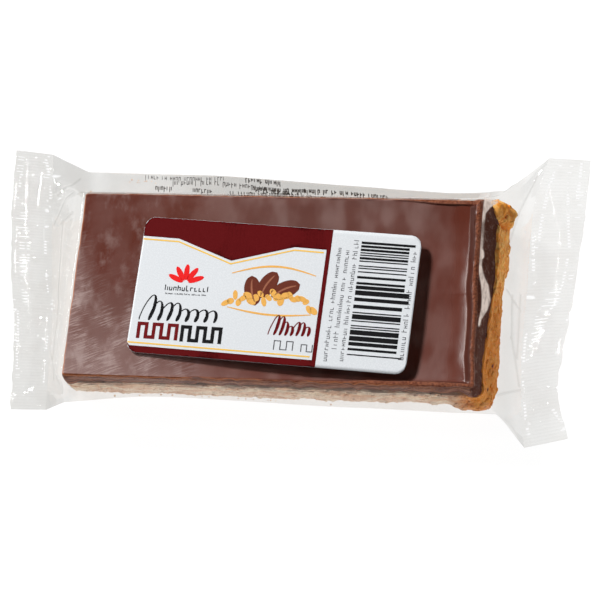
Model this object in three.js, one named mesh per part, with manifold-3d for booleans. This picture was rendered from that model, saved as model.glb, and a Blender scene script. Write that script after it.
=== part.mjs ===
// An oat bar in a clear flow wrap: the sealed film pack with its two crimped end fins and its
// long back seam, and the paper label stuck on its top.
// Millimetres, +Z up. The pack lies on its back seam with the bar's long side along X.

import * as THREE from 'three';
import { mergeVertices } from 'three/addons/utils/BufferGeometryUtils.js';
import Module from 'manifold-3d';

const wasm = await Module();
wasm.setup();

// ---------------------------------------------------------------- driving dimensions

// The bar that the film is drawn over. Its oat base is longer than its chocolate top.
const BAR = { topLength: 112.5, baseLength: 119, width: 51.5, height: 20 };

// The film stands this far off the bar, and its back seam this far off the film.
const FILM_EASE = 0.35;
const SEAM = { width: 9, height: 0.3, length: 108, sunkInFilm: 0.2 };

// Loose film makes a flap along the back: how far it reaches at each end, where along the bar it
// narrows, its nose's height, and how far behind the bar it lifts off the table.
const FLAP = { leftReach: 11, rightReach: 6.6, narrowsFrom: -20, narrowsOver: 60, noseZ: 5, foot: 1 };

// The film's fold along the foot of the front side: how far it stands out, its height, and how
// far under the bar the film meets the table.
const FRONT_FOLD = { reach: 1.4, z: 1.4, foot: 0.5 };

// Radii of the film's bends: front fold, top edges, flap nose, and the lift off the table. A bend
// takes at most this share of a side.
const BEND = { fold: 1, edge: 1.6, nose: 2.2, lift: 6 };
const MOST_OF_A_SIDE = 0.45;

// An end fin: two layers of film crimped together with ribs that run out along X. Its cut edge
// waves up and down by this much, in this many half waves.
const FIN = { halfThickness: 0.25, ribPitch: 0.88, ribHalfHeight: 0.15, wave: 0.4, halfWaves: 5 };

// Where each fin lies, from its front end to its back end: the line where the crimp starts, and
// the cut edge. The left fin stands nearly level, the right one climbs from the table's surface
// at the front to well above it at the back, and its front corner is folded outwards.
const LEFT_FIN = {
  inner: [
    [-65.9, -33.9, 2.6], [-66.4, -19, 4.2], [-66.4, -6.3, 5.7],
    [-68, 10, 7], [-69.2, 26.8, 8.1], [-70, 38, 8.9],
  ],
  outer: [
    [-76.4, -34.1, 2.6], [-76.5, -20, 4], [-77.5, -6.8, 5.6],
    [-79.7, 7.6, 6.8], [-80.8, 24.8, 8], [-80.9, 39.2, 9],
  ],
};
const RIGHT_FIN = {
  inner: [
    [66.1, -39.2, 1], [65.1, -30.1, 2.4], [64.4, -15, 5.2], [65.2, 0.5, 8.1],
    [65.5, 15.1, 10], [66.6, 26.9, 11.6], [69.6, 37.7, 13],
  ],
  outer: [
    [77.6, -36.4, 1.1], [75.9, -31, 2], [74.2, -22.6, 3.7], [75.8, -12, 5.8],
    [78, 4, 8.4], [79.7, 20, 10.8], [81, 37.2, 12.9],
  ],
};

// The label: a rounded rectangle of paper, turned a little on the bar and set off its middle.
const LABEL = {
  length: 76.2,
  width: 38.1,
  corner: 3,
  thickness: 0.15,
  gap: 0.3,
  x: 0.37,
  y: -2,
  turnDeg: -3,
};

// How finely the pack is divided: along its body, along each end tent, round a bend, and across
// a fin.
const DIVISIONS = { body: 10, tent: 6, bend: 3, finAcross: 2 };

// ---------------------------------------------------------------- helpers

const smoothstep = (t) => THREE.MathUtils.smoothstep(t, 0, 1);
const { lerp } = THREE.MathUtils;

// A smooth curve through a fin line's points.
function finLine(points) {
  return new THREE.CatmullRomCurve3(points.map((p) => new THREE.Vector3(...p)), false, 'centripetal');
}

// A ring is a closed loop of points with their turns: how far round the loop each one is, from 0
// at the front fold, through a half at the back, to 1 at the front fold again. Two neighbouring
// rings are joined by walking round both and stepping on whichever is behind, so a coarse ring
// can meet a fine one.
function joinRings(index, ringA, firstA, ringB, firstB) {
  const [countA, countB] = [ringA.points.length, ringB.points.length];
  const turnAt = (ring, i) => (i < ring.turns.length ? ring.turns[i] : 1 + ring.turns[0]);
  let [i, j] = [0, 0];
  while (i < countA || j < countB) {
    const [a, b] = [firstA + (i % countA), firstB + (j % countB)];
    const stepA = j === countB || (i < countA && turnAt(ringA, i + 1) <= turnAt(ringB, j + 1));
    if (stepA) {
      i += 1;
      index.push(a, firstA + (i % countA), b);
    } else {
      j += 1;
      index.push(a, firstB + (j % countB), b);
    }
  }
}

// A flat end ring is a long thin strip: it is closed by pairing each upper point with the lower
// point beneath it.
function closeStrip(index, first, count, facesBack) {
  for (let i = 0; i + 1 < count / 2; i += 1) {
    const [a, b] = [first + i, first + i + 1];
    const [c, d] = [first + count - 2 - i, first + count - 1 - i];
    index.push(...(facesBack ? [a, c, b, a, d, c] : [a, b, c, a, c, d]));
  }
}

// A closed mesh through rings, with strips for its two end rings.
function loftGeometry(rings) {
  const firsts = [];
  const positions = [];
  rings.forEach(({ points }) => {
    firsts.push(positions.length / 3);
    points.forEach((p) => positions.push(p.x, p.y, p.z));
  });
  const index = [];
  for (let r = 0; r + 1 < rings.length; r += 1) {
    joinRings(index, rings[r], firsts[r], rings[r + 1], firsts[r + 1]);
  }
  closeStrip(index, firsts[0], rings[0].points.length, true);
  closeStrip(index, firsts.at(-1), rings.at(-1).points.length, false);
  const geometry = new THREE.BufferGeometry();
  geometry.setAttribute('position', new THREE.Float32BufferAttribute(positions, 3));
  geometry.setIndex(index);
  return geometry;
}

// The signed volume of a closed indexed mesh, positive when its faces point outwards.
function signedVolume(geometry) {
  const position = geometry.getAttribute('position');
  const index = geometry.getIndex();
  const [a, b, c] = [new THREE.Vector3(), new THREE.Vector3(), new THREE.Vector3()];
  let six = 0;
  for (let i = 0; i < index.count; i += 3) {
    a.fromBufferAttribute(position, index.getX(i));
    b.fromBufferAttribute(position, index.getX(i + 1));
    c.fromBufferAttribute(position, index.getX(i + 2));
    six += a.dot(b.cross(c));
  }
  return six / 6;
}

// A manifold solid from a closed geometry, with its faces turned outwards.
function toSolid(geometry) {
  geometry.deleteAttribute('normal');
  geometry.deleteAttribute('uv');
  const merged = mergeVertices(geometry, 1e-5);
  if (signedVolume(merged) < 0) {
    const array = merged.getIndex().array;
    for (let i = 0; i < array.length; i += 3) {
      [array[i + 1], array[i + 2]] = [array[i + 2], array[i + 1]];
    }
  }
  const mesh = new wasm.Mesh({
    numProp: 3,
    vertProperties: new Float32Array(merged.getAttribute('position').array),
    triVerts: new Uint32Array(merged.getIndex().array),
  });
  return new wasm.Manifold(mesh);
}

// A three.js geometry from a manifold solid.
function toGeometry(solid) {
  const mesh = solid.getMesh();
  const geometry = new THREE.BufferGeometry();
  geometry.setAttribute('position', new THREE.Float32BufferAttribute(mesh.vertProperties, 3));
  geometry.setIndex(Array.from(mesh.triVerts));
  geometry.computeVertexNormals();
  return geometry;
}

// ---------------------------------------------------------------- the film round the bar

// A cross-section is a polygon whose sides are split evenly and whose corners are bent: each
// corner becomes a quadratic curve that leaves the sides at its radius. Every cross-section has
// the same count of points, so that they can be joined one to one.
function bentPolygon(corners) {
  const bends = corners.map(({ at, bend }, k) => {
    const share = (other) => Math.min(bend / at.distanceTo(other), MOST_OF_A_SIDE);
    const towards = (other) => at.clone().lerp(other, share(other));
    const [before, after] = [corners.at(k - 1).at, corners[(k + 1) % corners.length].at];
    return { start: towards(before), end: towards(after) };
  });
  return corners.flatMap(({ at, split }, k) => {
    const { start, end } = bends[k];
    const nextStart = bends[(k + 1) % corners.length].start;
    const bend = new THREE.QuadraticBezierCurve(start, at, end).getPoints(DIVISIONS.bend);
    const between = (_, i) => end.clone().lerp(nextStart, (i + 1) / split);
    return [...bend, ...Array.from({ length: split - 1 }, between)];
  });
}

// The film's cross-section at a place along the bar, in the YZ plane, started at the front fold
// and taken up the front, over the top, down to the flap's nose and back underneath.
function bodySection(x) {
  const front = -BAR.width / 2 - FILM_EASE;
  const back = BAR.width / 2 + FILM_EASE;
  const top = BAR.height + FILM_EASE;
  const narrowing = smoothstep((x - FLAP.narrowsFrom) / FLAP.narrowsOver);
  const nose = back + lerp(FLAP.leftReach, FLAP.rightReach, narrowing);
  return bentPolygon([
    { at: new THREE.Vector2(front - FRONT_FOLD.reach, FRONT_FOLD.z), bend: BEND.fold, split: 3 },
    { at: new THREE.Vector2(front, top), bend: BEND.edge, split: 9 },
    { at: new THREE.Vector2(back, top), bend: BEND.edge, split: 3 },
    { at: new THREE.Vector2(nose, FLAP.noseZ), bend: BEND.nose, split: 3 },
    { at: new THREE.Vector2(back + FLAP.foot, SEAM.height), bend: BEND.lift, split: 8 },
    { at: new THREE.Vector2(front + FRONT_FOLD.foot, SEAM.height), bend: BEND.fold, split: 1 },
  ]);
}

// The ring of film at the bar's end. It leans, because the base reaches further than the top.
function endRing(side, placed) {
  const topX = side * (BAR.topLength / 2 + FILM_EASE);
  const baseX = side * (BAR.baseLength / 2 + FILM_EASE);
  return bodySection(topX).map((p) => placed(lerp(baseX, topX, smoothstep(p.y / BAR.height)), p));
}

// The turns of a ring on the bar: the way over the top from the front fold to the flap's nose
// counts as the first half, and the way back underneath as the second.
function ringTurns(points) {
  const nose = points.reduce((best, p, i) => (p.y > points[best].y ? i : best), 0);
  const lengths = [0];
  points.forEach((p, i) => lengths.push(lengths[i] + p.distanceTo(points[(i + 1) % points.length])));
  const [half, whole] = [lengths[nose], lengths.at(-1)];
  return points.map((_, i) => (i <= nose
    ? lengths[i] / half / 2
    : 0.5 + (lengths[i] - half) / (whole - half) / 2));
}

// The rings of an end tent. The tube is pressed flat towards the fin line, so each of its points
// goes straight to the place on that line that its turn gives it.
function tentRings(ring, fin) {
  const inner = finLine(fin.inner);
  const turns = ringTurns(ring);
  const target = (turn) => {
    const over = turn <= 0.5;
    const point = inner.getPoint(over ? 2 * turn : 2 - 2 * turn);
    point.z += over ? FIN.halfThickness : -FIN.halfThickness;
    return point;
  };
  const rings = [];
  for (let k = 0; k < DIVISIONS.tent; k += 1) {
    const share = k / DIVISIONS.tent;
    rings.push({ points: ring.map((p, i) => p.clone().lerp(target(turns[i]), share)), turns });
  }
  return rings;
}

// ---------------------------------------------------------------- the fins

// The rings of a fin, from the line where the crimp starts to the cut edge. Its ribs are a zigzag
// along the fin, pressed through both faces alike, and its cut edge waves up and down a little.
function finRings(fin) {
  const inner = finLine(fin.inner);
  const outer = finLine(fin.outer);
  const steps = 2 * Math.round(inner.getLength() / FIN.ribPitch);
  const along = Array.from({ length: steps + 1 }, (_, i) => i / steps);
  const turns = [...along.map((t) => t / 2), ...along.map((t) => 0.5 + t / 2)];
  // The strip's two faces share no point, so the turns at its ends are set a hair apart.
  const hair = 1e-4;
  turns[steps + 1] += hair;
  turns[2 * steps + 1] -= hair;
  const rings = [];
  for (let j = 0; j <= DIVISIONS.finAcross; j += 1) {
    const across = j / DIVISIONS.finAcross;
    const middleLine = along.map((t, i) => {
      const point = inner.getPoint(t).lerp(outer.getPoint(t), across);
      const zigzag = i % 2 ? FIN.ribHalfHeight : -FIN.ribHalfHeight;
      const wave = FIN.wave * across * Math.sin(FIN.halfWaves * Math.PI * t) * Math.sin(Math.PI * t);
      point.z += zigzag + wave;
      return point;
    });
    const shifted = (dz) => middleLine.map((p) => new THREE.Vector3(p.x, p.y, p.z + dz));
    const points = [...shifted(FIN.halfThickness), ...shifted(-FIN.halfThickness).reverse()];
    rings.push({ points, turns });
  }
  return rings;
}

// The whole film, from one cut edge to the other, as one closed solid.
function filmSolid(barX, barY) {
  const placed = (x, p) => new THREE.Vector3(barX + x, barY + p.x, p.y);
  const leftEnd = endRing(-1, placed);
  const rightEnd = endRing(1, placed);
  const rings = [...finRings(LEFT_FIN).reverse(), ...tentRings(leftEnd, LEFT_FIN).reverse()];
  for (let k = 1; k < DIVISIONS.body; k += 1) {
    const x = lerp(-BAR.topLength / 2, BAR.topLength / 2, k / DIVISIONS.body);
    const points = bodySection(x).map((p) => placed(x, p));
    rings.push({ points, turns: ringTurns(points) });
  }
  rings.push(...tentRings(rightEnd, RIGHT_FIN), ...finRings(RIGHT_FIN));
  return toSolid(loftGeometry(rings));
}

// ---------------------------------------------------------------- the back seam

// The long seam, folded flat against the film under the bar. The pack rests on it.
function seamSolid(barX, barY) {
  const height = SEAM.height + SEAM.sunkInFilm;
  const box = new THREE.BoxGeometry(SEAM.length, SEAM.width, height);
  box.translate(barX, barY, height / 2);
  return toSolid(box);
}

// ---------------------------------------------------------------- the label

function labelGeometry() {
  const [x, y, r] = [LABEL.length / 2, LABEL.width / 2, LABEL.corner];
  const outline = new THREE.Shape();
  outline.absarc(x - r, y - r, r, 0, Math.PI / 2, false);
  outline.absarc(-x + r, y - r, r, Math.PI / 2, Math.PI, false);
  outline.absarc(-x + r, -y + r, r, Math.PI, 1.5 * Math.PI, false);
  outline.absarc(x - r, -y + r, r, 1.5 * Math.PI, 2 * Math.PI, false);
  const sheet = { depth: LABEL.thickness, bevelEnabled: false, curveSegments: 8 };
  return new THREE.ExtrudeGeometry(outline, sheet);
}

// ---------------------------------------------------------------- assembly

// The fins' lines are given in the pack's own frame, where the bar's middle lies here.
const BAR_MIDDLE = { x: -1.2, y: -2.4 };

const film = new THREE.Mesh(
  toGeometry(filmSolid(BAR_MIDDLE.x, BAR_MIDDLE.y).add(seamSolid(BAR_MIDDLE.x, BAR_MIDDLE.y))),
  new THREE.MeshStandardMaterial({
    color: 0xe8e7e3,
    roughness: 0.12,
    metalness: 0,
    transparent: true,
    opacity: 0.25,
  }),
);
film.name = 'film_pack';

const label = new THREE.Mesh(
  labelGeometry(),
  new THREE.MeshStandardMaterial({ color: 0xe9ecf0, roughness: 0.35, metalness: 0 }),
);
label.name = 'front_label';
label.position.set(BAR_MIDDLE.x + LABEL.x, BAR_MIDDLE.y + LABEL.y, BAR.height + FILM_EASE + LABEL.gap);
label.rotation.z = THREE.MathUtils.degToRad(LABEL.turnDeg);

const pack = new THREE.Group();
pack.add(film, label);

// The frame's origin is the middle of the pack's own outline, on the surface it lies on.
const outline = new THREE.Box3().setFromObject(pack);
const middle = outline.getCenter(new THREE.Vector3());
pack.position.set(-middle.x, -middle.y, -outline.min.z);

const part = new THREE.Group();
part.add(pack);

export default part;
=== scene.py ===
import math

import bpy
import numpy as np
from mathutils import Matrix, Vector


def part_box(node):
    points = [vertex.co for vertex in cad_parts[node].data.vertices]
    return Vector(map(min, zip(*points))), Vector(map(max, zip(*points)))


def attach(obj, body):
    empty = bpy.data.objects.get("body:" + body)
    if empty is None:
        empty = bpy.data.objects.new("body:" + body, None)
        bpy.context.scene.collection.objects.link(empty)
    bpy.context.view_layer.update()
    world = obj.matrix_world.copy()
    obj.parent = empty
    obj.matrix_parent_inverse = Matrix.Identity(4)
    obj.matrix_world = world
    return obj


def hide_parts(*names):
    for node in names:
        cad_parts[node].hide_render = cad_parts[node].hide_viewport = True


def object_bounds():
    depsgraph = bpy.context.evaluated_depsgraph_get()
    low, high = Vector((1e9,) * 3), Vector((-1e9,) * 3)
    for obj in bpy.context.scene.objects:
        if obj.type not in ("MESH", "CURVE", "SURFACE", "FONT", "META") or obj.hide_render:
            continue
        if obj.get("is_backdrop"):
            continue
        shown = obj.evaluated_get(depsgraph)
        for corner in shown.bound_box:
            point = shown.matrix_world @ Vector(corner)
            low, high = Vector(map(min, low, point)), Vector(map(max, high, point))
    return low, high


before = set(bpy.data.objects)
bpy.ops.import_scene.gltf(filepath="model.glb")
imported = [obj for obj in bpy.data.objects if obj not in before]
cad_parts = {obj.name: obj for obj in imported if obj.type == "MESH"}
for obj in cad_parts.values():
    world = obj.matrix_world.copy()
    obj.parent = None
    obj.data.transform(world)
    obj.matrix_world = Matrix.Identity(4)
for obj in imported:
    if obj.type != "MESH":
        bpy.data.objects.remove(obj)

# %% [markdown]
# # A wrapped oat bar
#
# The object is an oat bar with a chocolate top, sealed in a clear flow wrap, with a paper label
# stuck over it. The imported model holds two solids: the pack out to the film's outer surface, and
# the label. This lesson fills the pack: it builds the oat base, the chocolate, the film with its
# crimped ends and its long seam, the label and its print, and gives each its finish.
#
# Every shape is a numpy surface: a whole array of points worked out by a formula, turned into
# faces by one small helper. Lengths are in millimetres until the last moment.

MM = 0.001
CAD_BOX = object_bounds()
print("model box, mm:", [[round(c / MM, 1) for c in corner] for corner in CAD_BOX])

# %% [markdown]
# ## Where things are
#
# The label's solid says where the bar lies, because the label is stuck a known way off the
# bar's middle. All the shapes below are worked out round the bar's middle, and moved to the
# frame when their mesh is made.

# %% Sizes of the bar, and its place in the frame
TOP_LENGTH, BASE_LENGTH, BAR_WIDTH = 112.5, 119.0, 51.5
BAR_BOTTOM, CHOCOLATE_BOTTOM, BAR_TOP = 0.4, 14.2, 20.0
FILM_EASE = 0.35
LABEL_LENGTH, LABEL_WIDTH, LABEL_CORNER = 76.2, 38.1, 3.0
LABEL_OFFSET = np.array([0.37, -2.0])
LABEL_TURN = math.radians(-3.0)

label_low, label_high = (np.array(corner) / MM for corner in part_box("front_label"))
BAR_MIDDLE = np.append((label_low + label_high)[:2] / 2 - LABEL_OFFSET, 0.0)
print("bar's middle in the frame, mm:", BAR_MIDDLE.round(2))

# %% [markdown]
# ## Noise
#
# Food and film are uneven, so the shapes need smooth random relief that is the same on every
# run. Value noise does that: each corner of a lattice of cubes gets a number stirred from its
# address, and the points between are blended from the eight corners round them.

# %% Lattice noise, from -1 to 1, and two ways of easing
def stirred(i, j, k, seed):
    """A number from 0 to 1 for each lattice corner: its address, multiplied and bit-folded."""
    n = (i * 73856093) ^ (j * 19349663) ^ (k * 83492791) ^ (seed * 97531)
    n = (n & 0xFFFFFFFF) * 1274126177 & 0xFFFFFFFF
    n = (n ^ (n >> 15)) * 2246822519 & 0xFFFFFFFF
    return ((n ^ (n >> 13)) & 0xFFFF) / 0xFFFF


def noise(points, size, seed):
    """Smooth noise at points (..., 3): corner numbers blended by smoothed distances."""
    scaled = np.asarray(points, float) / size
    cell = np.floor(scaled).astype(np.int64)
    part = scaled - cell
    part = part * part * (3 - 2 * part)
    total = np.zeros(scaled.shape[:-1])
    for corner in np.ndindex(2, 2, 2):
        weight = np.prod(np.where(corner, part, 1 - part), axis=-1)
        address = np.moveaxis(cell + np.array(corner), -1, 0)
        total += weight * stirred(*address, seed)
    return 2 * total - 1


def layered(points, size, seed, layers=3):
    """Noise in layers, each half as large and half as strong as the one before."""
    return sum(noise(points, size / 2**k, seed + k) / 2**k for k in range(layers))


def smooth_step(x):
    """0 below 0, 1 above 1, and a smooth S between: x squared times 3 - 2x."""
    x = np.clip(x, 0, 1)
    return x * x * (3 - 2 * x)


def end_eased(low, high, count, ease):
    """Values from low to high, even steps less a sine wave, so closer together at either end."""
    t = np.linspace(0, 1, count)
    return low + (high - low) * t - ease * np.sin(2 * np.pi * t) / (2 * np.pi)


print("noise at three points:", noise([[0.5, 0.2, 0.1], [3, 1, 2], [9.5, 0, 4]], 1.0, 7).round(3))

# %% [markdown]
# ## From arrays to meshes
#
# A closed shape is a stack of rings: an array with one row for each ring, and in each row the
# points round it. Neighbouring rings are joined by quads. The first and the last ring are shut
# either by a fan to a middle point, or, where the ring is a thin strip, by pairing each point on
# its upper side with the one below. The sum of the little volumes under the faces then tells
# which way the faces point, and they are turned if that is inwards.

# %% A mesh object from points and faces
PIECES = []
NO_QUADS, NO_TRIANGLES = np.zeros((0, 4), int), np.zeros((0, 3), int)


def add_piece(name, points, quads, triangles, values=None, smooth=True):
    """A mesh object from points (n, 3) in mm round the bar's middle, with values for its points.
    smooth is one word for all the faces, or one for each."""
    corners = np.concatenate([quads.ravel(), triangles.ravel()]).astype(np.int32)
    sizes = np.concatenate([np.full(len(quads), 4), np.full(len(triangles), 3)]).astype(np.int32)
    starts = np.concatenate([[0], np.cumsum(sizes)[:-1]]).astype(np.int32)
    mesh = bpy.data.meshes.new(name)
    mesh.vertices.add(len(points))
    mesh.vertices.foreach_set("co", ((points + BAR_MIDDLE) * MM).astype(np.float32).ravel())
    mesh.loops.add(len(corners))
    mesh.loops.foreach_set("vertex_index", corners)
    mesh.polygons.add(len(sizes))
    mesh.polygons.foreach_set("loop_start", starts)
    mesh.polygons.foreach_set("use_smooth", np.broadcast_to(smooth, len(sizes)).copy())
    mesh.update(calc_edges=True)
    for key, array in (values or {}).items():
        layer = mesh.attributes.new(key, "FLOAT", "POINT")
        layer.data.foreach_set("value", np.asarray(array, np.float32).ravel())
    mesh.validate()
    piece = bpy.data.objects.new(name, mesh)
    bpy.context.scene.collection.objects.link(piece)
    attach(piece, "root")
    PIECES.append(piece)
    print(f"{name}: {len(points)} points, {2 * len(quads) + len(triangles)} triangles")
    return piece


# %% Faces for a stack of rings, turned outwards
def ring_faces(rows, count, cap):
    """Quads and triangles for a stack of rings: (rows, count) points, closed at both ends."""
    i, j = np.meshgrid(np.arange(rows - 1), np.arange(count), indexing="ij")
    here, above, beside = i * count, (i + 1) * count, (j + 1) % count
    quads = np.stack([here + j, here + beside, above + beside, above + j], -1).reshape(-1, 4)
    last = (rows - 1) * count
    if cap == "fan":
        k = np.arange(count)
        first_fan = np.stack([np.full(count, rows * count), (k + 1) % count, k], -1)
        last_fan = np.stack([np.full(count, rows * count + 1), last + k, last + (k + 1) % count], -1)
        return quads, np.concatenate([first_fan, last_fan])
    k = np.arange(count // 2 - 1)
    strip = np.stack([k, count - 1 - k, count - 2 - k, k + 1], -1)
    return np.concatenate([quads, strip, last + strip[:, ::-1]]), NO_TRIANGLES


def outward(points, quads, triangles):
    """The same faces, turned over if the volume they enclose comes out negative."""
    halves = np.concatenate([quads[:, [0, 1, 2]], quads[:, [0, 2, 3]], triangles])
    a, b, c = (points[halves[:, n]] for n in range(3))
    if np.einsum("ij,ij->", a, np.cross(b, c)) < 0:
        return quads[:, ::-1], triangles[:, ::-1]
    return quads, triangles


# %% Closed pieces and joined ones
def closed_piece(name, rings, cap="fan", values=None, sheet=False):
    """A closed piece from an array of rings (rows, count, 3). Its flat caps, and a sheet's narrow
    edges, are shaded flat, so that they don't tilt the shading of the faces beside them."""
    rows, count = rings.shape[:2]
    points = rings.reshape(-1, 3)
    values = {key: np.ravel(array) for key, array in (values or {}).items()}
    if cap == "fan":
        points = np.concatenate([points, rings[:1].mean(1), rings[-1:].mean(1)])
        values = {key: np.append(array, [array[0], array[-1]]) for key, array in values.items()}
    quads, triangles = outward(points, *ring_faces(rows, count, cap))
    smooth = np.ones(len(quads) + len(triangles), bool)
    if cap == "strip":
        smooth[(rows - 1) * count:] = False
    if sheet:
        smooth[count // 2 - 1:(rows - 1) * count:count // 2] = False
    return add_piece(name, points, quads, triangles, values, smooth)


def joined_piece(name, shapes):
    """Joins many small closed sheets, each a stack of rings, into one piece with flat faces."""
    points, quads, start = [], [], 0
    for shape in shapes:
        rows, count = shape.shape[:2]
        flat = shape.reshape(-1, 3)
        faces = outward(flat - flat.mean(0), *ring_faces(rows, count, "strip"))[0]
        points.append(flat)
        quads.append(faces + start)
        start += len(flat)
    return add_piece(name, np.concatenate(points), np.concatenate(quads), NO_TRIANGLES, smooth=False)


def sheet_rings(upper, lower):
    """Rings of a thin sheet: each row of its upper face, then the same row of its lower face back."""
    return np.concatenate([upper, lower[:, ::-1]], axis=1)


# %% Many copies of one small shape
def copies(shape, faces, places):
    """Joined copies of one small shape: points (m, 3) set by matrices (n, 3, 4) into one mesh."""
    points = np.einsum("nij,mj->nmi", places[:, :, :3], shape) + places[:, None, :, 3]
    shifts = np.arange(len(places))[:, None, None] * len(shape)
    return points.reshape(-1, 3), (faces[None] + shifts).reshape(-1, faces.shape[1])


# %% [markdown]
# ## Outlines
#
# The bar is cut from a slab, so its outline is a rectangle with slightly soft corners. Points
# are spread evenly round it, and every ring of the base or of the chocolate is this outline
# drawn in towards the middle or let down the side.

# %% A rectangle with round corners
def outline(half_x, half_y, radius, count):
    """Points and outward normals round a rounded rectangle, evenly spaced, as (count, 2) arrays."""
    straight_x, straight_y = half_x - radius, half_y - radius
    arc = radius * math.pi / 2
    lengths = np.array([2 * straight_y, arc, 2 * straight_x, arc] * 2)
    starts = np.concatenate([[0], np.cumsum(lengths)])
    s = np.arange(count) / count * starts[-1]
    side = np.searchsorted(starts, s, side="right") - 1
    along = (s - starts[side]) / lengths[side]
    centres = np.array([[1, 1], [-1, 1], [-1, -1], [1, -1]]) * [straight_x, straight_y]
    quarter = side // 2
    angle = quarter * math.pi / 2 + np.where(side % 2, along * math.pi / 2, 0)
    normal = np.stack([np.cos(angle), np.sin(angle)], -1)
    centre = centres[quarter]
    before = centres[(quarter + 3) % 4]
    base = np.where((side % 2)[:, None] == 1, centre, before + (centre - before) * along[:, None])
    return base + radius * normal, normal


# %% [markdown]
# ## The oat base
#
# The base is baked rolled oats, pressed into a slab and cut, so its sides show flakes lying flat
# in dark golden syrup, with gaps and lumps between them. It could be one displaced block, but
# then no flake would have an edge of its own. So it is made twice: a lumpy core for the mass,
# and a few thousand single flakes, each a thin curved disc, pressed into the core's sides.
#
# In front the film lies right against the oats and holds them back. So its front is worked out
# first, and the core, the flakes and the crumbs are all kept a little inside it.

# %% The film's front, which holds the oats back
FILM_TOP = BAR_TOP + FILM_EASE
FOLD_Z, BELLY_Z, BELLY_PUSH = 1.4, 7.5, 1.0
CORE_INSET, FLAKE_INSET = 0.25, 0.15


def fold_reach(x):
    """How far the front fold stands out in front of the bar."""
    return np.interp(x, [-60, -50, -35, -18, 12, 34, 60], [3.6, 2.2, 0.4, 0.7, 1.6, 2.0, 2.2])


def film_front(x, z):
    """Where the film's front lies: straight from the fold at its foot to its top edge, and
    pushed out at the height of the belly by the oats' corner at the right."""
    straight = fold_reach(x) * (FILM_TOP - z) / (FILM_TOP - FOLD_Z)
    share = np.minimum((FILM_TOP - z) / (FILM_TOP - BELLY_Z), (z - FOLD_Z) / (BELLY_Z - FOLD_Z))
    pushed = BELLY_PUSH * smooth_step((x - 38) / 8) * np.clip(share, 0, 1)
    return -BAR_WIDTH / 2 - FILM_EASE - straight - pushed


# %% The base's outline at each height
BASE_FRONT, BASE_BACK, BASE_CORNER = -25.2, 25.1, 2.2
BACK_LUMP = np.array([58.7, 26.6, 10.3])


def right_end(y):
    """Where the top ends on the right."""
    return 55.0 + 0.7 * smooth_step((-y - 14) / 11) - 0.55 * smooth_step((y + 6) / 9)


def right_foot(y):
    """How far the chocolate's foot stands out beyond its top at the right end."""
    wider = 1.0 * smooth_step((y + 22) / 18) + 1.4 * smooth_step((y + 8) / 14)
    return 1.6 + wider + 0.4 * smooth_step((y + 6) / 9) - 1.7 * smooth_step((y - 20) / 6)


def side_ring(z, count):
    """The base's outline at one height, with its outward normals. The left end leans out as it
    goes down, the right end slopes out from the chocolate's foot and then bellies, the foot is
    drawn in and the front right corner stands out."""
    flat, normal = outline(BASE_LENGTH / 2, BAR_WIDTH / 2, BASE_CORNER, count)
    x, y = flat.T
    to_left, to_right = smooth_step(-x / 50), smooth_step(x / 50)
    to_front, to_back = smooth_step((-y - 8) / 15), smooth_step((y - 4) / 10)
    left_end = -57.1 + 0.9 * smooth_step((y + 26) / 52) - 0.1 * (CHOCOLATE_BOTTOM - z)
    belly = 58.9 + 0.9 * to_back + 0.5 * math.sin(math.pi * min(1.0, z / CHOCOLATE_BOTTOM))
    belly = belly - 1.0 * smooth_step((-y - 20) / 5)
    under_foot = right_end(y) + right_foot(y) + 0.2
    base_end = belly + (np.minimum(under_foot, belly) - belly) * smooth_step((z - 8) / 6)
    foot = max(0.0, 1 - (z - BAR_BOTTOM) / 5.0) ** 2
    corner = 1.5 * smooth_step((x - 47) / 5) * smooth_step((11 - z) / 4)
    x = x + to_right * (base_end - BASE_LENGTH / 2) + to_left * (left_end + BASE_LENGTH / 2)
    front_in, back_in = BAR_WIDTH / 2 + BASE_FRONT + corner, BAR_WIDTH / 2 - BASE_BACK
    y = y - to_front * front_in - smooth_step(y / 15) * back_in
    y = y + to_front * foot * (1.5 + 2.0 * smooth_step((-x - 45) / 6))
    tuck = 1.0 * max(0.0, 1 - (z - BAR_BOTTOM) / 1.4) ** 2
    return np.stack([x, y], -1) - normal * tuck, normal


# %% The lumps on its sides, and the core
def base_bulge(points):
    """How far the base's side stands out: broad lumps, small lumps, grains, and one big knobbly
    lump at the back corner with a gap beside it."""
    x, y = points[..., 0], points[..., 1]
    broad = 0.36 * layered(points, 4.5, 11)
    fine = 0.22 * layered(points, 1.7, 15, 2)
    grains = 0.18 * np.abs(noise(points, 0.8, 19))
    lump = np.exp(-np.sum(((points - BACK_LUMP) / [4.0, 4.3, 4.0]) ** 4, -1))
    at_corner = smooth_step((x - 58.0) / 1.2) * smooth_step((y - 23.3) / 1.2)
    lump = lump * (2.6 + 1.3 * smooth_step((y - 23.5) / 1.5) + 0.8 * at_corner)
    gap = -3.4 * np.exp(-np.sum(((points - BACK_LUMP - [0, -5.2, 1.2]) / [5.0, 0.65, 3.2]) ** 2, -1))
    left_calm = 1 - 0.7 * smooth_step((-x - 54) / 3)
    knobs = (0.45 * noise(points, 2.1, 13) + 0.3 * noise(points, 0.9, 14)) * lump
    return (broad + fine + grains - 0.1) * left_calm + lump + knobs + gap


CAP_RINGS, SIDE_RINGS, CORE_AROUND = 10, 58, 1150


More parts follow.
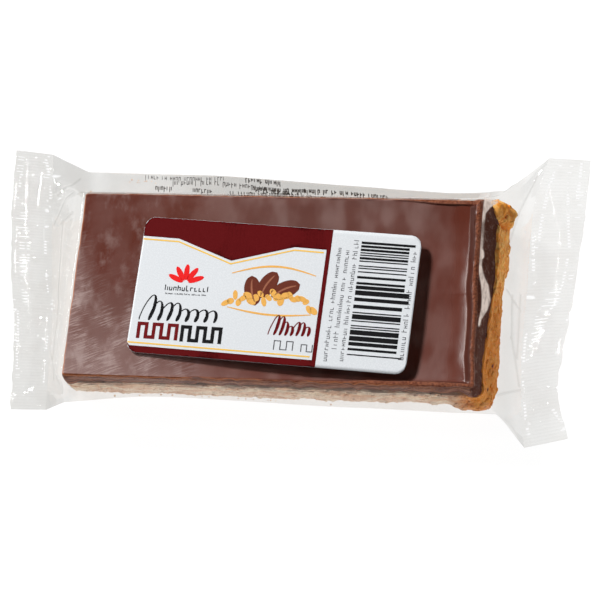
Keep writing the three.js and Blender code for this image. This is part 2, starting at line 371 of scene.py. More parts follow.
def base_core():
    """Rings drawn out along the bottom, up the side, and in along the top."""
    drawn = np.linspace(0.02, 0.97, CAP_RINGS)
    inward = np.concatenate([drawn, np.ones(SIDE_RINGS), drawn[::-1]])
    heights = np.concatenate([np.zeros(CAP_RINGS), np.linspace(0, 1, SIDE_RINGS), np.ones(CAP_RINGS)])
    rings = []
    for scale, height in zip(inward, heights):
        z = BAR_BOTTOM + (CHOCOLATE_BOTTOM - BAR_BOTTOM) * height
        flat, normal = side_ring(z, CORE_AROUND)
        rings.append(np.column_stack([flat * scale, np.full(len(flat), z)]))
    rings = np.array(rings)
    out = np.concatenate([normal, np.zeros((len(normal), 1))], axis=1)
    on_side = (inward == 1)[:, None, None]
    rings = rings + out * on_side * base_bulge(rings)[..., None]
    rings[..., 1] = np.maximum(rings[..., 1], film_front(rings[..., 0], rings[..., 2]) + CORE_INSET)
    return rings


core = closed_piece("oat_base_core", base_core())

# %% [markdown]
# A flake is a disc that is thick in the middle and thin at its rim, bent a little like a saddle
# and creased along its length. One is worked out, and then set thousands of times: each copy
# faces the way the bulging side faces where it sits, leans out a little at its foot and is sunk
# in a little, because a flake that faces another way leaves a dark slit behind it.

# %% One rolled flake
FLAKE_COUNT, FLAKE_RINGS, FLAKE_AROUND = 2600, 2, 8
FLAKE_LEVELS, FLAKE_PLACES = 40, 3000


def flake_shape():
    """A bent disc of radius one: rings over a ball, squashed later, with a crease on top and a
    saddle's rise of x squared less y squared."""
    slant = np.linspace(0, math.pi, 2 * FLAKE_RINGS + 1)[1:-1, None]
    radius, lift = np.sin(slant), np.cos(slant)
    angle = np.linspace(0, 2 * math.pi, FLAKE_AROUND, endpoint=False)[None]
    x, y = radius * np.cos(angle), radius * np.sin(angle)
    crease = -0.2 * np.exp(-((y / 0.22) ** 2)) * (1 - x**2)
    z = lift * (1 + crease * (lift > 0)) + 0.2 * (x**2 - y**2)
    return np.stack([x, y, np.broadcast_to(z, x.shape)], -1)


def flake_mesh():
    """The flake's points and its faces as triangles, poles closed."""
    rings = flake_shape()
    rows, count = rings.shape[:2]
    points = np.concatenate([rings.reshape(-1, 3), [[0, 0, 0.8], [0, 0, -1.0]]])
    quads, triangles = outward(points * [1, 1, 0.3], *ring_faces(rows, count, "fan"))
    return points, np.concatenate([quads[:, [0, 1, 2]], quads[:, [0, 2, 3]], triangles])


# %% Which way a flake faces
def facing(normals, spin, lean_x, lean_y):
    """Rotations (n, 3, 3) that turn +Z to each normal, after a spin about it and two leans."""
    up = np.where(np.abs(normals[:, 2:]) > 0.9, [[1.0, 0, 0]], [[0, 0, 1.0]])
    side = np.cross(up, normals)
    side /= np.linalg.norm(side, axis=1, keepdims=True)
    other = np.cross(normals, side)
    basis = np.stack([side, other, normals], -1)
    tilted = np.stack([lean_x, lean_y, np.ones_like(lean_x)], -1)
    tilted /= np.linalg.norm(tilted, axis=1, keepdims=True)
    z = np.einsum("nij,nj->ni", basis, tilted)
    along = np.cos(spin)[:, None] * side + np.sin(spin)[:, None] * other
    x = along - z * np.sum(along * z, 1, keepdims=True)
    x /= np.linalg.norm(x, axis=1, keepdims=True)
    return np.stack([x, np.cross(z, x), z], -1)


def bulged_normal(places, out, rise, step=0.5):
    """Which way the bulging side faces: the outline's normal, tipped back by the outline's own
    rise outwards on the way up, and by the bulge's slope along the side and up it."""
    up = np.array([0, 0, 1.0])
    tipped = out - up * rise[:, None]
    for way in (np.cross(up, out), np.broadcast_to(up, out.shape)):
        slope = (base_bulge(places + way * step) - base_bulge(places - way * step)) / (2 * step)
        tipped = tipped - way * slope[:, None]
    return tipped / np.linalg.norm(tipped, axis=1, keepdims=True)


# %% All the flakes
def set_flakes(turn, size, places):
    """Copies of the flake, each stretched by its three sizes, turned, and moved to its place."""
    matrices = np.concatenate([turn * size[:, None, :], places[..., None]], axis=2)
    return copies(*flake_mesh(), matrices)


def oat_flakes(count, seed):
    """Flakes set into the base's sides at random places, lying along its surface. One that would
    go below the bar or past the film's front is moved back."""
    rng = np.random.default_rng(seed)
    levels = np.linspace(BAR_BOTTOM + 1.2, CHOCOLATE_BOTTOM - 0.5, FLAKE_LEVELS)
    outlines, normals_out = map(np.array, zip(*(side_ring(z, FLAKE_PLACES) for z in levels)))
    level, pick = rng.integers(0, len(levels), count), rng.integers(0, FLAKE_PLACES, count)
    flat, flat_normal = outlines[level, pick], normals_out[level, pick]
    places = np.column_stack([flat, levels[level]])
    normal = np.column_stack([flat_normal, np.zeros(count)])
    rise = np.sum(np.gradient(outlines, levels, axis=0)[level, pick] * flat_normal, axis=1)
    surface_normal = bulged_normal(places, normal, rise)
    places += normal * (base_bulge(places) - rng.uniform(0.02, 0.3, count))[:, None]
    spin = rng.normal(0, 0.5, count)
    lean_x, lean_y = rng.normal(0, 0.08, count), 0.05 + np.abs(rng.normal(0, 0.1, count))
    turn = facing(surface_normal, spin, lean_x, lean_y)
    size = np.column_stack([
        rng.uniform(0.6, 1.4, count),
        rng.uniform(0.45, 0.9, count),
        rng.uniform(0.22, 0.36, count),
    ])
    points, triangles = set_flakes(turn, size, places)
    each = len(points) // count
    low = np.minimum(0, points.reshape(count, -1, 3)[..., 2].min(1) - BAR_BOTTOM)
    points = points - np.repeat(low, each)[:, None] * [0, 0, 1]
    past = film_front(points[:, 0], points[:, 2]) + FLAKE_INSET - points[:, 1]
    past = np.maximum(0, past.reshape(count, -1).max(1))
    points = points + np.repeat(past, each)[:, None] * [0, 1, 0]
    return points, triangles, {"tone": np.repeat(rng.uniform(0, 1, count), each)}


flake_points, flake_triangles, flake_values = oat_flakes(FLAKE_COUNT, 5)
flakes = add_piece("oat_flakes", flake_points, NO_QUADS, flake_triangles, flake_values)

# %% [markdown]
# A few crumbs have come off and lie in the wrap: one at the back corner, specks in the flap, and
# a row in the fold along the front.

# %% Crumbs
NAMED_CRUMBS = [[-58.5, 31.5, 3.6, 0.25], [-46.0, -26.6, 1.4, 0.3], [-33.0, -25.9, 1.5, 0.25]]
SPECKS, SPECK_RANGES = 9, [[-49, -38], [34.0, 34.8], [4.4, 4.8], [0.12, 0.2]]
FRONT_CRUMBS, FRONT_RANGES, FRONT_Z = 14, [[-40, 20], [0.7, 0.9], [0.12, 0.28]], 1.5


def crumbs():
    """Small uneven lumps as X, Y, Z and size: the named ones, specks in a box, and a row that
    lies a little inside the film's front."""
    rng = np.random.default_rng(17)
    specks = np.column_stack([rng.uniform(low, high, SPECKS) for low, high in SPECK_RANGES])
    x, inset, size = (rng.uniform(low, high, FRONT_CRUMBS) for low, high in FRONT_RANGES)
    front = np.column_stack([x, film_front(x, FOLD_Z) + inset, np.full(len(x), FRONT_Z), size])
    spots = np.concatenate([NAMED_CRUMBS, specks, front])
    normal = rng.normal(0, 1, (len(spots), 3))
    normal /= np.linalg.norm(normal, axis=1, keepdims=True)
    turn = facing(normal, rng.uniform(0, 6, len(spots)), 0 * spots[:, 0], 0 * spots[:, 0])
    size = spots[:, 3:] * rng.uniform(0.7, 1.2, (len(spots), 3))
    points, triangles = set_flakes(turn, size, spots[:, :3])
    each = len(points) // len(spots)
    return points, triangles, {"tone": np.repeat(rng.uniform(0, 0.4, len(spots)), each)}


crumb_points, crumb_triangles, crumb_values = crumbs()
loose_crumbs = add_piece("loose_crumbs", crumb_points, NO_QUADS, crumb_triangles, crumb_values)

# %% [markdown]
# ## The chocolate
#
# The chocolate was poured on the slab and pulled off its middle, so at one end it lies level
# with its rim, and towards the other it sinks into a shallow tray about three millimetres deep
# with a raised rim. The rim's top was cut, so it is rough and lighter. A height worked out from
# the distance to the edge gives all of that, on rings that are closest together near the rim.

# %% The plan of the top
TRAY_DEPTH = 3.2


def left_end(y):
    """Where the top ends on the left: a little slanted."""
    return -56.1 + 1.0 * smooth_step((y + 26) / 52)


def lay_out(across, along):
    """A point of the top from its share of the length and of the width, both from -1 to 1."""
    y = along * BAR_WIDTH / 2
    left, right = left_end(y), right_end(y)
    return (left + right) / 2 + across * (right - left) / 2, y


def tray_share(x):
    """How much of a tray there is along the bar: nothing at the left, all of it from the middle."""
    return smooth_step((x + 38) / 55)


def rim_width(x, y):
    """The rim's width: thin along the sides at the left, wider towards the right end."""
    near_end = smooth_step((right_end(y) - x - 4) / -2)
    at_back = 0.4 + 0.9 * smooth_step((x - 28) / 20)
    at_front = 0.5 + 0.7 * smooth_step((x - 5) / 30)
    at_end = 1.05 + 0.1 * smooth_step((y + 8) / 16)
    long_side = np.where(y > 0, at_back, at_front)
    wavy = 1 + 0.2 * layered(np.stack([x, y, 0 * x], -1), 7.0, 31, 2)
    return (long_side + (at_end - long_side) * near_end) * wavy


def from_edges(x, y):
    """How far inside the rim's inner edge a point lies: from the front, the back, the right end."""
    width = rim_width(x, y)
    return y + BAR_WIDTH / 2 - width, BAR_WIDTH / 2 - y - width, right_end(y) - x - width


# %% The height of the top
def settled(inside, step, step_length, *curves):
    """A share from 0 to 1 of the tray's depth: a step, and curves that die out further in."""
    total = step * smooth_step(inside / step_length)
    for share, length in curves:
        total = total + share * (1 - np.exp(-np.maximum(inside - 0.6 * step_length, 0) / length))
    return total


def edge_inside(x, y):
    """How far inside the nearest edge of the top a point lies."""
    ends = np.minimum(x - left_end(y), right_end(y) - x)
    return np.minimum(ends, BAR_WIDTH / 2 - np.abs(y))


def chocolate_height(x, y):
    """The top: rim level, a short step down inside the rim, and a long hollow beyond it. Along
    the back there is hardly a step; at the right end the hollow ends in a tight curve."""
    front, back, end = from_edges(x, y)
    back_step = 0.14 * smooth_step((x - 25) / 25)
    from_front = settled(front, 0.42, 0.5, (0.28, 2.5), (0.3, 14.0))
    from_end = settled(end, 0.36, 1.7, (0.19, 2.0), (0.45, 8.0))
    slope = 1 - np.exp(-np.maximum(back, 0) / 13)
    from_back = back_step * smooth_step(back / 0.35) + (1 - back_step) * slope
    depth = from_front * from_end * from_back
    spots = np.stack([x, y, 0 * x], -1)
    ripple = 0.14 * layered(spots, 13.0, 33, 2) + 0.015 * layered(spots, 3.0, 35, 2)
    nearest = np.minimum(np.minimum(front, back), end)
    grain = 0.06 * layered(spots, 0.9, 37, 2) + 0.16 * noise(spots, 2.4, 39)
    rough = grain * (1 - smooth_step(nearest / 0.4))
    inside = edge_inside(x, y)
    edge_round = 0.45 * (1 - smooth_step(inside / 0.5)) ** 2
    uneven = ripple * smooth_step(inside / 3) + rough * (0.3 + 0.7 * tray_share(x))
    return BAR_TOP - 0.12 - tray_share(x) * TRAY_DEPTH * depth + uneven - edge_round


# %% The chocolate's rings
INNER_RINGS, RIM_RINGS, WALL_RINGS, TOP_AROUND = 40, 46, 28, 780
LEAST_FOOT, LEFT_FOOT = 0.25, 0.9


def side_flare(x, y):
    """How far the chocolate's foot stands out: most in the middle of the right end."""
    at_right, at_left = smooth_step((x - 51) / 3), smooth_step((-x - 52) / 3)
    return LEAST_FOOT + at_right * (right_foot(y) - LEAST_FOOT) + at_left * LEFT_FOOT


def chocolate_rings():
    """Rings out over the top, down the side, which flares towards the base, and in underneath.
    The outline wanders a little, and in front it is bitten inwards here and there."""
    square, normal = outline(1.0, 1.0, 0.02, 2 * TOP_AROUND)
    across, along = square[::2].T
    normal = normal[::2]
    edge_x, edge_y = lay_out(across, along)
    spots = np.stack([edge_x, edge_y, 0 * edge_x], -1)
    wobble = 1 + 0.16 * layered(spots, 4.0, 41)[:, None] * np.array([1 / 56, 1 / 26]) - 0.004
    bitten = 0.5 * np.abs(noise(spots, 3.2, 42)) * smooth_step((-along - 0.9) / 0.1)
    bitten = bitten * smooth_step((edge_x + 30) / 10)
    across, along = across * wobble[:, 0], along * (wobble[:, 1] - bitten / 26)
    rings = []
    for scale in np.append(np.linspace(0.02, 0.82, INNER_RINGS), np.linspace(0.83, 1.0, RIM_RINGS)):
        x, y = lay_out(across * scale, along * scale)
        rings.append(np.stack([x, y, chocolate_height(x, y)], -1))
    edge = rings[-1]
    flare = side_flare(edge[:, 0], edge[:, 1])
    foot = CHOCOLATE_BOTTOM - 0.5 + 0.8 * layered(spots, 6.0, 47, 2)
    for down in np.linspace(0, 1, WALL_RINGS)[1:]:
        z = edge[:, 2] + (foot - edge[:, 2]) * down
        ring = np.column_stack([edge[:, :2] + normal * (flare * down**0.8)[:, None], z])
        relief = 0.2 * layered(ring, 2.6, 43) * smooth_step(down * 4)
        ring[:, :2] += normal * relief[:, None]
        rings.append(ring)
    last = rings[-1]
    for scale in (0.97, 0.8, 0.5, 0.02):
        level = CHOCOLATE_BOTTOM - 1 + (last[:, 2] - CHOCOLATE_BOTTOM + 1) * scale**4
        rings.append(np.column_stack([last[:, :2] * scale, level]))
    return np.array(rings)


# %% [markdown]
# The chocolate looks different where it was cut, on the short walls inside the rim, which are
# painted dark as shade, and along its sharp edges. The finish could find those places by their
# height or slope, but the same formulas that made the shape know them exactly. So three values
# are worked out here and kept at the mesh's points, for the finish to read.

# %% Values for the chocolate's finish
def cut_mask(rings):
    """1 on the rim's rough top, 0 on the glossy surface inside it and well down the sides."""
    x, y, z = np.moveaxis(rings, -1, 0)
    front, back, end = from_edges(x, y)
    nearest = np.minimum(np.minimum(front, back), end)
    on_rim = 1 - smooth_step((np.minimum(nearest, x - left_end(y) - 0.3) + 0.25) / 0.35)
    return on_rim * (1 - smooth_step((BAR_TOP - z - 0.6) / 0.3))


def wall_mask(rings):
    """1 on the short wall between the rim and the hollow, where the finish paints shade: wide at the
    right end, narrow in front and, near the right end, behind."""
    x, y = rings[..., 0], rings[..., 1]
    front, back, end = from_edges(x, y)
    wall = smooth_step((end + 0.1) / 0.2) * (1 - smooth_step((end - 1.35) / 0.4))
    behind = smooth_step((back + 0.1) / 0.15) * (1 - smooth_step((back - 0.2) / 0.25))
    behind = behind * smooth_step((x - 30) / 15)
    before = smooth_step((front + 0.1) / 0.15) * (1 - smooth_step((front - 0.3) / 0.3))
    inner = np.maximum(behind, before) * smooth_step(end)
    return np.maximum(wall * smooth_step(np.minimum(front, back)), inner) * tray_share(x)


def edge_line(rings):
    """1 along the sharp top edge, in stretches, except near the right end. The edge lies
    between the last ring of the top and the first of the side."""
    from_edge = np.abs(np.arange(len(rings)) - (INNER_RINGS + RIM_RINGS - 0.5))[:, None]
    not_right = 1 - smooth_step((rings[..., 0] - 30) / 10)
    in_stretches = smooth_step((noise(rings, 5.0, 49) + 0.75) / 0.5)
    return (1 - smooth_step((from_edge - 0.8) / 1.4)) * not_right * in_stretches


rings = chocolate_rings()
chocolate_marks = {"cut": cut_mask(rings), "wall": wall_mask(rings), "edge": edge_line(rings)}
chocolate = closed_piece("chocolate_layer", rings, values=chocolate_marks)

# %% [markdown]
# ## The film's lines
#
# The film is a tube drawn over the bar and pressed flat at both ends. The fins' lines are the
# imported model's own: where each crimp starts, and the cut edge, from front to back. They are
# given about another middle than the bar's, which is taken off when a curve is drawn through them.

# %% The fins' lines
LEFT_INNER = [
    [-65.9, -33.9, 2.6], [-66.4, -19, 4.2], [-66.4, -6.3, 5.7],
    [-68, 10, 7], [-69.2, 26.8, 8.1], [-70, 38, 8.9],
]
LEFT_OUTER = [
    [-76.4, -34.1, 2.6], [-76.5, -20, 4], [-77.5, -6.8, 5.6],
    [-79.7, 7.6, 6.8], [-80.8, 24.8, 8], [-80.9, 39.2, 9],
]
RIGHT_INNER = [
    [66.1, -39.2, 1], [65.1, -30.1, 2.4], [64.4, -15, 5.2], [65.2, 0.5, 8.1],
    [65.5, 15.1, 10], [66.6, 26.9, 11.6], [69.6, 37.7, 13],
]
RIGHT_OUTER = [
    [77.6, -36.4, 1.1], [75.9, -31, 2], [74.2, -22.6, 3.7], [75.8, -12, 5.8],
    [78, 4, 8.4], [79.7, 20, 10.8], [81, 37.2, 12.9],
]
LINES_MIDDLE = np.array([-1.2, -2.4, 0])


def through(points, shares):
    """A smooth curve through points, read at shares from 0 to 1: each stretch is a cubic whose
    slopes follow its neighbours."""
    knots = np.array(points, float) - LINES_MIDDLE
    ends = np.concatenate([[2 * knots[0] - knots[1]], knots, [2 * knots[-1] - knots[-2]]])
    place = np.clip(np.asarray(shares) * (len(knots) - 1), 0, len(knots) - 1 - 1e-9)
    i = place.astype(int)
    t = (place - i)[..., None]
    a, b, c, d = (ends[i + n] for n in range(4))
    return 0.5 * (2 * b + (c - a) * t + (2 * a - 5 * b + 4 * c - d) * t**2 + (3 * b - a - 3 * c + d) * t**3)


# %% [markdown]
# ## The film round the bar
#
# Across the bar the film's section is a polygon with bent corners: the fold at the foot of the
# front and the belly over it, the two top edges, the root and the nose of the loose flap behind,
# and two feet. At the ends every point of that section runs straight to its place on the fin's
# line, as a tube does when it is pinched flat. Points are spread by length along the film, so
# nothing stretches.

# %% The film's section
FILM_FOOT = 0.3
NOSE_Z, FLAP_ROOT_Z = 5.0, 7.4
UPPER_POINTS, LOWER_POINTS = 236, 236


def flap_reach(x):
    """How far the loose flap reaches behind the bar."""
    return np.interp(x, [-58, -18, 7, 42, 58], [11.5, 11.0, 9.2, 7.0, 7.8])


def bent(corners, bends):
    """A closed polygon's corners replaced by short quadratic curves, as a polyline."""
    parts = []
    t = np.linspace(0, 1, 9)[:, None]
    for k, corner in enumerate(corners):
        before, after = corners[k - 1] - corner, corners[(k + 1) % len(corners)] - corner
        start = corner + before * min(bends[k] / np.linalg.norm(before), 0.45)
        end = corner + after * min(bends[k] / np.linalg.norm(after), 0.45)
        parts.append((1 - t) ** 2 * start + 2 * t * (1 - t) * corner + t**2 * end)
    return np.concatenate(parts)


def film_section(x):
    """The film's ring at x as (count, 2) points in Y and Z, evenly spread over and under. Behind
    the bar it hangs down first and then lies out as a flap of two layers. The polygon's points
    are rolled so that the ring starts at the fold in front."""
    front, back = -BAR_WIDTH / 2 - FILM_EASE, BAR_WIDTH / 2 + FILM_EASE
    loose = 2.9 * smooth_step((x - 47) / 8)
    corners = np.array([
        [front - fold_reach(x), FOLD_Z],
        [film_front(x, BELLY_Z), BELLY_Z],
        [front, FILM_TOP],
        [back, FILM_TOP],
        [back + 0.9 + loose, FLAP_ROOT_Z + loose],
        [back + flap_reach(x), NOSE_Z],
        [back + 1.0, FILM_FOOT],
        [front + 0.5, FILM_FOOT],
    ])
    line = bent(corners, [1.0, 3.0, 0.9, 0.9, 3.0, 1.6, 6.0, 1.0])
    line = np.roll(line, -4, axis=0)
    line = np.concatenate([line, line[:1]])
    lengths = np.concatenate([[0], np.cumsum(np.linalg.norm(np.diff(line, axis=0), axis=1))])
    half = lengths[np.argmax(line[:, 0])]
    over = np.linspace(0, half, UPPER_POINTS, endpoint=False)
    under = np.linspace(half, lengths[-1], LOWER_POINTS, endpoint=False)
    at = np.concatenate([over, under])
    return np.stack([np.interp(at, lengths, line[:, n]) for n in range(2)], -1)


# %% [markdown]
# At the right end the film leaves the chocolate's rim over a narrow facet, like a bevel, before
# it falls to the fin. Its width changes along the rim: wide at the back corner, and wide again
# past the middle, where a glare of light is painted on it as a pale ribbon.

# %% The tent at each end
TENT_ROWS, BODY_ROWS = 56, 92
SEAL_GAP, SOFTENINGS = 0.03, 5
FACET_SLOPE, FACET_SHARE = 1.08, 0.3
FACET_Y = [-26, -14, -10, -7, -4, -1, 2.7, 5, 7.5, 9.2, 10, 11.2, 12.2, 19, 22, 24, 26]
FACET_WIDTH = [0.3, 0.3, 0.3, 0.8, 2.2, 3.0, 2.5, 1.2, 0.5, 0.5, 0.9, 0.9, 0.5, 0.45, 0.6, 1.6, 3.4]
TENT_STEPS = np.linspace(0, 1, TENT_ROWS + 1)
SHARES = np.concatenate([
    np.linspace(0, 1, UPPER_POINTS, endpoint=False),
    np.linspace(1, 0, LOWER_POINTS, endpoint=False),
])
OVER = np.arange(UPPER_POINTS + LOWER_POINTS) < UPPER_POINTS


def end_ring(side):
    """The ring at the bar's end, leaning because the base reaches further than the top."""
    section = film_section(side * (TOP_LENGTH / 2 - 1))
    y, z = section.T
    top_x = right_end(y) + 0.5 if side > 0 else left_end(y) - 0.5
    base_x = side * (BASE_LENGTH / 2 + 0.3)
    return np.column_stack([base_x + (top_x - base_x) * smooth_step(z / BAR_TOP), section])


def tent(side, inner):
    """Rows from the bar's end to the fin's line: straight runs, with a knee at the facet."""
    start = end_ring(side)
    goal = through(inner, SHARES)
    goal[:, 2] += np.where(OVER, SEAL_GAP, -SEAL_GAP)
    knee = start + (goal - start) * FACET_SHARE
    if side > 0:
        width = np.interp(start[:, 1], FACET_Y, FACET_WIDTH)
        facet = start + np.stack([width, 0 * width, -width * FACET_SLOPE], -1)
        on_top = smooth_step((start[:, 2] - FILM_TOP + 1) / 0.8)[:, None]
        knee = knee + (facet - knee) * on_top
    t = TENT_STEPS[:, None, None]
    first = start + (knee - start) * np.minimum(t / FACET_SHARE, 1)
    return first + (goal - knee) * np.maximum((t - FACET_SHARE) / (1 - FACET_SHARE), 0)


# %% All the film's rings
def film_rows():
    """All the film's rings, from the left fin's line to the right one's, with softened bends."""
    left, right = tent(-1, LEFT_INNER)[::-1], tent(1, RIGHT_INNER)
    share = end_eased(0, 1, BODY_ROWS + 2, 0.82)[1:-1, None]
    x = left[-1, :, 0] + (right[0, :, 0] - left[-1, :, 0]) * share
    sections = np.array([film_section(row[:UPPER_POINTS].mean()) for row in x])
    body = np.concatenate([x[..., None], sections], axis=-1)
    rows = np.concatenate([left, body, right])
    for _ in range(SOFTENINGS):
        middle = (rows[:-2] + 2 * rows[1:-1] + rows[2:]) / 4
        rows = np.concatenate([rows[:1], middle, rows[-1:]])
    return rows


# %% Where the film's glare is painted, and which way it faces
def painted_glare_ribbon(rows):
    """1 over the facet at the right end, where a glare is painted on the film in white."""
    section = film_section(TOP_LENGTH / 2 - 1)
    wide = smooth_step((np.interp(section[:, 0], FACET_Y, FACET_WIDTH) - 0.4) / 0.15)
    on_top = smooth_step((section[:, 1] - FILM_TOP + 1) / 0.8) * OVER
    late = 0.075 * smooth_step((section[:, 0] + 12) / 4) * (1 - smooth_step((section[:, 0] - 1) / 6))
    steps = TENT_STEPS[:, None]
    over_facet = smooth_step((steps - late) / 0.04) * (1 - smooth_step((steps - FACET_SHARE + 0.03) / 0.04))
    white = np.zeros(rows.shape[:2])
    white[-len(TENT_STEPS):] = over_facet * wide * on_top
    return white


def surface_normals(rows, outside):
    """Unit normals of a grid that is closed across its rows, turned to point outside."""
    along = np.gradient(rows, axis=0)
    around = (np.roll(rows, -1, axis=1) - np.roll(rows, 1, axis=1)) / 2
    normal = np.cross(along, around)
    normal /= np.linalg.norm(normal, axis=-1, keepdims=True) + 1e-12
    flip = np.sign(np.sum(normal * (rows - outside), -1).sum())
    return normal * flip


# %% [markdown]
# Film creases in straight lines, because it bends but doesn't stretch. So besides a little
# smooth unevenness, each end gets long creases between named places, a handful of soft ridges
# that run from the bar to the fin, and small puckers close to the crimp.

# %% Creases between named places
CREASES = [
    [61.0, 13.0, 63.4, 23.6, 0.22, 0.7], [63.4, 23.6, 68.4, 36.6, 0.22, 0.6],
    [59.0, 31.2, 62.2, 37.1, 0.25, 0.7], [62.2, 37.1, 66.1, 38.5, 0.25, 0.7],
    [60.6, -25.4, 66.6, -21.2, 0.35, 0.7],
    [63.2, 2.0, 63.5, -9.0, -0.4, 0.7], [63.5, -9.0, 65.4, -21.0, -0.4, 0.7],
    [64.9, 2.5, 64.6, -14.0, 0.3, 0.5], [61.6, 3.0, 65.0, -1.5, 0.2, 0.5],
    [-63.5, 19.2, -58.6, 20.6, 0.25, 0.6], [-62.6, 20.0, -62.0, -2.0, 0.2, 0.7],
    [-62.0, -2.0, -62.4, -24.0, -0.2, 0.7], [-66.0, -12.0, -59.0, -26.0, 0.2, 0.8],
    [-61.0, 34.0, -66.0, 28.0, 0.3, 0.7], [-60.0, 30.0, -66.5, 20.0, -0.2, 0.7],
]


def along_segments(points, segments):
    """Roofs along segments in plan: two ends, a height and a half width for each."""
    total = np.zeros(points.shape[:-1])
    for a0, b0, a1, b1, height, width in segments:
        start, run = np.array([a0, b0]), np.array([a1 - a0, b1 - b0])
        away = points[..., :2] - start
        t = np.clip(np.sum(away * run, -1) / np.sum(run * run), 0, 1)
        distance = np.linalg.norm(away - t[..., None] * run, axis=-1)
        total += height * np.maximum(0, 1 - distance / width)
    return total


def near_segments(points, segments):
    """1 on segments in plan, falling to 0 at a half width: two ends and the half width for each."""
    return along_segments(points, [[*ends, 1.0, width] for *ends, width in segments])


# %% Ridges and puckers
RIDGES, RIDGE_HEIGHT, RIDGE_WIDTH = 5, 0.13, 0.03
PUCKER_HEIGHT, SEAL_ROWS = 0.2, 11


def ridges(shares, steps, lines):
    """The sum of straight ridges: each has a share at the bar, a share at the fin, a height and
    a width in shares, and rises and falls along the tent as a half wave."""
    total = np.zeros(np.broadcast(shares, steps).shape)
    for at_bar, at_fin, height, width in lines:
        middle = at_bar + (at_fin - at_bar) * steps
        profile = np.maximum(0, 1 - np.abs(shares - middle) / width)
        total += height * profile * np.sin(np.pi * np.clip(steps, 0, 1)) ** 0.7
    return total


def random_ridges(count, height, width, seed):
    """A handful of ridges spread over the tent, alternately up and down."""
    rng = np.random.default_rng(seed)
    at_bar = (np.arange(count) + rng.uniform(0.2, 0.8, count)) / count
    at_fin = at_bar + rng.normal(0, 0.05, count)
    heights = height * rng.uniform(0.4, 1, count) * np.where(np.arange(count) % 2, 1, -1)
    return list(zip(at_bar, at_fin, heights, width * rng.uniform(0.5, 1.2, count)))


def film_wrinkles(rows):
    """How far each point of the film moves out or in."""
    total = len(rows)
    step_left = 1 - np.arange(total) / TENT_ROWS
    step_right = (np.arange(total) - (total - 1 - TENT_ROWS)) / TENT_ROWS
    move = along_segments(rows, CREASES) * OVER
    for side, steps in ((0, step_left), (1, step_right)):
        for over in (0, 1):
            lines = random_ridges(RIDGES, RIDGE_HEIGHT, RIDGE_WIDTH, 51 + 2 * side + over)
            inside = ((steps > 0) & (steps <= 1))[:, None] & (OVER == bool(over))[None]
            move += np.where(inside, ridges(SHARES[None], steps[:, None], lines), 0)
        near_fin = smooth_step((steps[:, None] - 0.72) / 0.28) * (steps[:, None] <= 1)
        pucker = PUCKER_HEIGHT * layered(rows * [0.6, 1, 0.6], 1.8, 67 + side, 2)
        move += np.where(near_fin > 0, pucker * near_fin, 0)
    seal = np.minimum(np.arange(total), np.arange(total)[::-1])[:, None] / SEAL_ROWS
    faint = 0.07 * layered(rows, 9.0, 61) + 0.03 * (1 - 2 * np.abs(noise(rows * [1, 1.6, 1], 6.0, 65)))
    return (move + faint) * smooth_step(seal)


# %% The film
def tent_gleams(rows):
    """1 on small streaks where the film puckers towards its crimp, at the left back corner, where glints are
    painted.
    """
    from_end = np.minimum(np.arange(len(rows)), np.arange(len(rows))[::-1])[:, None]
    near_fin = 1 - smooth_step((from_end - 10) / 18)
    at_corner = smooth_step((rows[..., 1] - 18) / 8) * smooth_step((-rows[..., 0] - 58) / 3)
    streak = smooth_step((noise(rows * [0.5, 1.4, 0.5], 1.3, 73) - 0.6) / 0.12)
    return streak * near_fin * at_corner * OVER


rows = film_rows()
normals = surface_normals(rows, rows.mean((0, 1)))
film_points = rows + normals * film_wrinkles(rows)[..., None]
film_points[..., 2] = np.maximum(film_points[..., 2], FILM_FOOT)
narrow = [[*crease[:4], 0.4] for crease in CREASES]
film_marks = {
    # The white value marks where a glare is painted over the facet.
    "white": painted_glare_ribbon(rows),
    # The fold value marks where shade is painted along the creases.
    "fold": np.minimum(near_segments(rows, narrow), 1) * OVER,
    # The gleam value marks where glints are painted.
    "gleam": tent_gleams(rows),
}
film = closed_piece("film_tube", film_points, cap="strip", values=film_marks)

# %% [markdown]
# ## The seam under the bar
#
# The tube was closed along its back by one more crimp, which lies folded flat under the bar. It
# is a long thin strip with ribs across it.

# %% The back seam
SEAM_HALF_LENGTH, SEAM_HALF_WIDTH, SEAM_PITCH = 53.9, 4.5, 1.0
SEAM_ROWS, SEAM_ACROSS, SEAM_Z, SEAM_RIB = 860, 10, 0.15, 0.035


def seam_rings():
    """Rows along the seam, each a short line across it, with the crimp's ribs."""
    x = np.linspace(-SEAM_HALF_LENGTH, SEAM_HALF_LENGTH, SEAM_ROWS)[:, None]
    y = np.linspace(-SEAM_HALF_WIDTH, SEAM_HALF_WIDTH, SEAM_ACROSS)[None]
    bend = 0.25 * noise(np.stack([x, 0 * x, 0 * x], -1), 16.0, 69)
    ribs = SEAM_RIB * np.sin(2 * np.pi * x / SEAM_PITCH) + 0 * y
    middle = np.stack(np.broadcast_arrays(x, y + bend * (y > 0), SEAM_Z + ribs), -1)
    lift = np.array([0, 0, 0.05])
    return sheet_rings(middle + lift, middle - lift)


back_seam = closed_piece("back_seam", seam_rings(), cap="strip", sheet=True)

# %% [markdown]
# ## Rows that stand for small print
#
# Small print here says nothing: it is rows of thin strokes in groups, some short, some tall, some
# joined by a dash. A row is worked out as segments along a line, and laid on a surface later.

